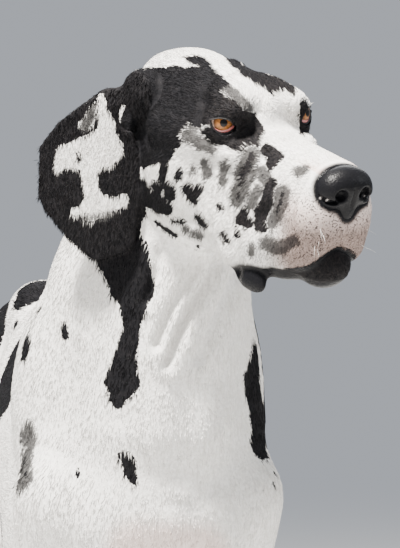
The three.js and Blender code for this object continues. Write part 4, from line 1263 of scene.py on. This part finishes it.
NOSE_STEP = 1.1
nose_points, nose_quads = field_mesh(nose_field(), (118, -36, -70), (166, 36, 0), NOSE_STEP)
nose_points = settle(nose_field(), nose_points, 0.0, most=NOSE_STEP)
nose = mesh_object("nose_leather", from_head(nose_points), nose_quads)
nose_look = plain_material("nose_leather", (0.005, 0.005, 0.006, 1), 0.40, (620.0, 0.0003),
                           Specular_IOR_Level=0.1)
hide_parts("nose")
dress(nose, nose_look)

claws = mesh_object("claws", *merged(
    field_mesh(claw_field(x, y, size), (x + 30, y - 55, -2), (x + 100, y + 55, 34), 1.5)
    for x, y, size in PAWS))
dress(claws, plain_material("claw_horn", (0.05, 0.042, 0.04, 1), 0.38))


def eye_material(name):
    """Rings round the gaze: pupil, amber iris with a dark rim, white, and red at the edge."""
    m = Nodes(name)
    ring = m.value("ring")
    angle_noise = m.noise(m.vector("spoke"), 5.0, 3.0)
    iris = m.mix(m.ramp(angle_noise, 0.35, 0.7), (0.17, 0.060, 0.014, 1), (0.38, 0.15, 0.040, 1))
    iris = m.mix(m.ramp(ring, 0.62, 0.98), iris, (0.09, 0.035, 0.012, 1))
    iris = m.mix(m.ramp(ring, 0.44, 0.36), iris, (0.004, 0.004, 0.004, 1))
    white = m.mix(m.ramp(ring, 1.05, 1.7), (0.50, 0.36, 0.30, 1), (0.42, 0.14, 0.11, 1))
    m.feed(m.shader.inputs["Base Color"], m.mix(m.ramp(ring, 0.96, 1.06), iris, white))
    m.set(Roughness=0.5, Coat_Weight=0.35, Coat_Roughness=0.03, Specular_IOR_Level=0.05)
    return m.material


eye_look = eye_material("eye_amber")
rim_look = plain_material("lid_rim", (0.010, 0.008, 0.008, 1), 0.30)
haw_look = plain_material("haw_pink", (0.56, 0.17, 0.16, 1), 0.3, Coat_Weight=0.4)
IRIS = 9.4
PUPIL_UP = 1.8


def eyeball(s, name):
    rings, turns = 39, 48
    a = np.linspace(0, math.pi, rings + 2)[1:-1]
    b = np.linspace(0, 2 * math.pi, turns, endpoint=False)
    bulge = 0.9 * np.exp(-(np.sin(a) * EYE_RADIUS / IRIS) ** 2 * 1.2) * (a < 1.5)
    r = EYE_RADIUS - 0.9 + bulge
    p = np.stack(np.broadcast_arrays(
        (r * np.cos(a))[:, None], (r * np.sin(a))[:, None] * np.cos(b),
        (r * np.sin(a))[:, None] * np.sin(b)), -1).reshape(-1, 3)
    p = np.vstack([p, [[r[0], 0, 0], [-r[-1], 0, 0]]])
    faces = [quad[::-1] for quad in sheet(rings, turns)]
    front, back = len(p) - 2, len(p) - 1
    last = (rings - 1) * turns
    for j in range(0, turns, 2):
        k, m = (j + 1) % turns, (j + 2) % turns
        faces.append([front, j, k, m])
        faces.append([back, last + m, last + k, last + j])
    at, rot = eye_frame(s)
    obj = mesh_object(name, from_head(p @ rot.T + at), faces)
    radial = np.hypot(p[:, 1], p[:, 2] - PUPIL_UP)
    set_value(obj, "ring", np.where(p[:, 0] > 0, radial / IRIS, 2.0))
    angle = np.arctan2(p[:, 2] - PUPIL_UP, p[:, 1])
    set_value(obj, "spoke", np.stack([np.cos(angle) * 2.2, np.sin(angle) * 2.2, radial * 0.05], 1))
    return obj


def tube(path, radii, sides=8):
    """An open tube's points and quads, with one radius for each point of the path."""
    path = np.asarray(path, float)
    ahead = unit_rows(np.gradient(path, axis=0))
    b = unit_rows(np.cross(ahead, [0.3, 0.2, 0.93]))
    c = np.cross(b, ahead)
    turn = np.linspace(0, 2 * math.pi, sides, endpoint=False)
    ring = b[:, None] * np.cos(turn)[None, :, None] + c[:, None] * np.sin(turn)[None, :, None]
    p = path[:, None] + ring * np.asarray(radii)[:, None, None]
    return p.reshape(-1, 3), sheet(len(path), sides)


def lid_path(way, n=24):
    """Along the upper (1) or lower (-1) lid's edge, as (h, v) in the eye's frame."""
    sag = LID_UP if way > 0 else LID_DOWN
    radius = (LID_HALF ** 2 + sag ** 2) / (2 * sag)
    half = math.asin(LID_HALF / radius)
    t = np.linspace(-half, half, n)
    return radius * np.sin(t), way * (sag - radius + radius * np.cos(t))


def on_eye(h, v, radius):
    return np.stack([np.sqrt(np.maximum(radius ** 2 - h ** 2 - v ** 2, 1.0)), h, v], 1)


def lids(s, side):
    """A dark rim round the opening, and the pink inner lid that shows over the lower one."""
    at, rot = eye_frame(s)
    rims = []
    for way in (1, -1):
        h, v = lid_path(way)
        radii = 1.25 + 0.35 * np.cos(np.linspace(-1.5, 1.5, len(h)))
        rims.append(tube(on_eye(h, v, EYE_RADIUS + 0.9), radii))
    p, faces = merged(rims)
    dress(mesh_object("lids_" + side, from_head(p @ rot.T + at), faces), rim_look)
    h, v = lid_path(-1)
    inward = np.clip(-s * h / LID_HALF, -0.6, 1)
    rise = np.linspace(0, 1, 6)
    rows = [on_eye(h * (1 - 0.04 * t), v + t * (3.0 + 2.8 * inward), EYE_RADIUS + 0.7 - 0.9 * t ** 2)
            for t in rise]
    p = np.concatenate(rows) @ rot.T + at
    haw = mesh_object("haw_" + side, from_head(p), sheet(len(rise), len(h), closed=False))
    dress(haw, haw_look)


for s, side in ((-1, "right"), (1, "left")):
    ball_piece = eyeball(s, "eyeball_" + side)
    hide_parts("eye_" + side)
    dress(ball_piece, eye_look)
    lids(s, side)


WHISKERS = 10  # on each side


def whiskers():
    """Stiff white hairs from the lips, thin to a point."""
    for s in SIDES:
        for _ in range(WHISKERS):
            x, z = rng.uniform(108, 148), rng.uniform(-90, -58)
            start = np.array([x, s * 24.0, z])
            forward = 0.6 + 0.9 * (x - 108) / 40
            way = unit([forward, s * rng.uniform(0.4, 0.9), rng.uniform(-0.35, 0.12)])
            long = rng.uniform(14, 28)
            t = np.linspace(0, 1, 7)[:, None]
            path = start + way * t * long + np.array([-1.5, 0, -2.5]) * t ** 2
            yield tube(path, 0.2 * (1 - 0.85 * t[:, 0]), 4)


whisker_points, whisker_faces = merged(whiskers())
whisker_piece = mesh_object("whiskers", from_head(whisker_points), whisker_faces)
dress(whisker_piece, plain_material("whisker_white", (0.78, 0.76, 0.72, 1), 0.4))


# Camera, floor and light

def look_object(name, data, at, toward):
    obj = bpy.data.objects.new(name, data)
    bpy.context.scene.collection.objects.link(obj)
    obj.location = at
    obj.rotation_euler = (Vector(toward) - Vector(at)).to_track_quat("-Z", "Y").to_euler()
    return obj


camera_data = bpy.data.cameras.new("camera")
camera_data.sensor_fit = "HORIZONTAL"
camera_data.sensor_width = 36.0
camera_data.lens = 36.0 * FOCAL / IMAGE[0]
camera_data.clip_end = 100.0
tilt = math.atan((IMAGE[1] / 2 - HORIZON) / FOCAL)
ahead = -OUT * math.cos(tilt) - np.array([0, 0, math.sin(tilt)])
eye_point = to_metres(CAMERA_AT)
camera = look_object("camera", camera_data, eye_point, eye_point + ahead)
bpy.context.scene.camera = camera

SKY = (0.86, 0.91, 1.0, 1)
SKY_STRENGTH = 0.5
floor_mesh = bpy.data.meshes.new("floor")
FLOOR_REACH = 60.0
corners = [(x * FLOOR_REACH, y * FLOOR_REACH, 0) for x, y in ((-1, -1), (1, -1), (1, 1), (-1, 1))]
floor_mesh.from_pydata(corners, [], [(0, 1, 2, 3)])
floor = bpy.data.objects.new("floor", floor_mesh)
bpy.context.scene.collection.objects.link(floor)
floor_look = Nodes("floor_pale")
floor_look.set(Base_Color=(0.72, 0.72, 0.71, 1), Roughness=0.8)
far_out = floor_look.add("VectorMath", operation="LENGTH")
floor_look.feed(far_out.inputs[0], floor_look.add("TexCoord").outputs["Object"])
glow = floor_look.add("Emission")
glow.inputs["Color"].default_value = SKY
glow.inputs["Strength"].default_value = SKY_STRENGTH
fade = floor_look.add("MixShader")
FADE_FROM = 1.6
FADE_TO = 7.0
floor_look.feed(fade.inputs[0], floor_look.ramp(far_out.outputs["Value"], FADE_FROM, FADE_TO))
floor_look.tree.links.new(floor_look.shader.outputs[0], fade.inputs[1])
floor_look.tree.links.new(glow.outputs[0], fade.inputs[2])
floor_look.tree.links.new(fade.outputs[0], floor_look.tree.nodes["Material Output"].inputs[0])
floor.data.materials.append(floor_look.material)

world = bpy.data.worlds.new("world")
world.use_nodes = True
world.node_tree.nodes["Background"].inputs["Color"].default_value = SKY
world.node_tree.nodes["Background"].inputs["Strength"].default_value = SKY_STRENGTH
bpy.context.scene.world = world


def softbox(name, at, size, power, colour=(1, 1, 1)):
    light = bpy.data.lights.new(name, "AREA")
    light.energy = power
    light.size = size
    light.color = colour
    look_object(name, light, at, (0.35, 0.05, 0.8))


softbox("key", (1.5, -1.4, 4.4), 0.5, 1250, (1.0, 0.96, 0.90))
softbox("side", (1.6, 3.8, 2.6), 1.2, 45, (0.93, 0.96, 1.0))
softbox("back", (-3.2, 1.2, 3.0), 2.2, 70)
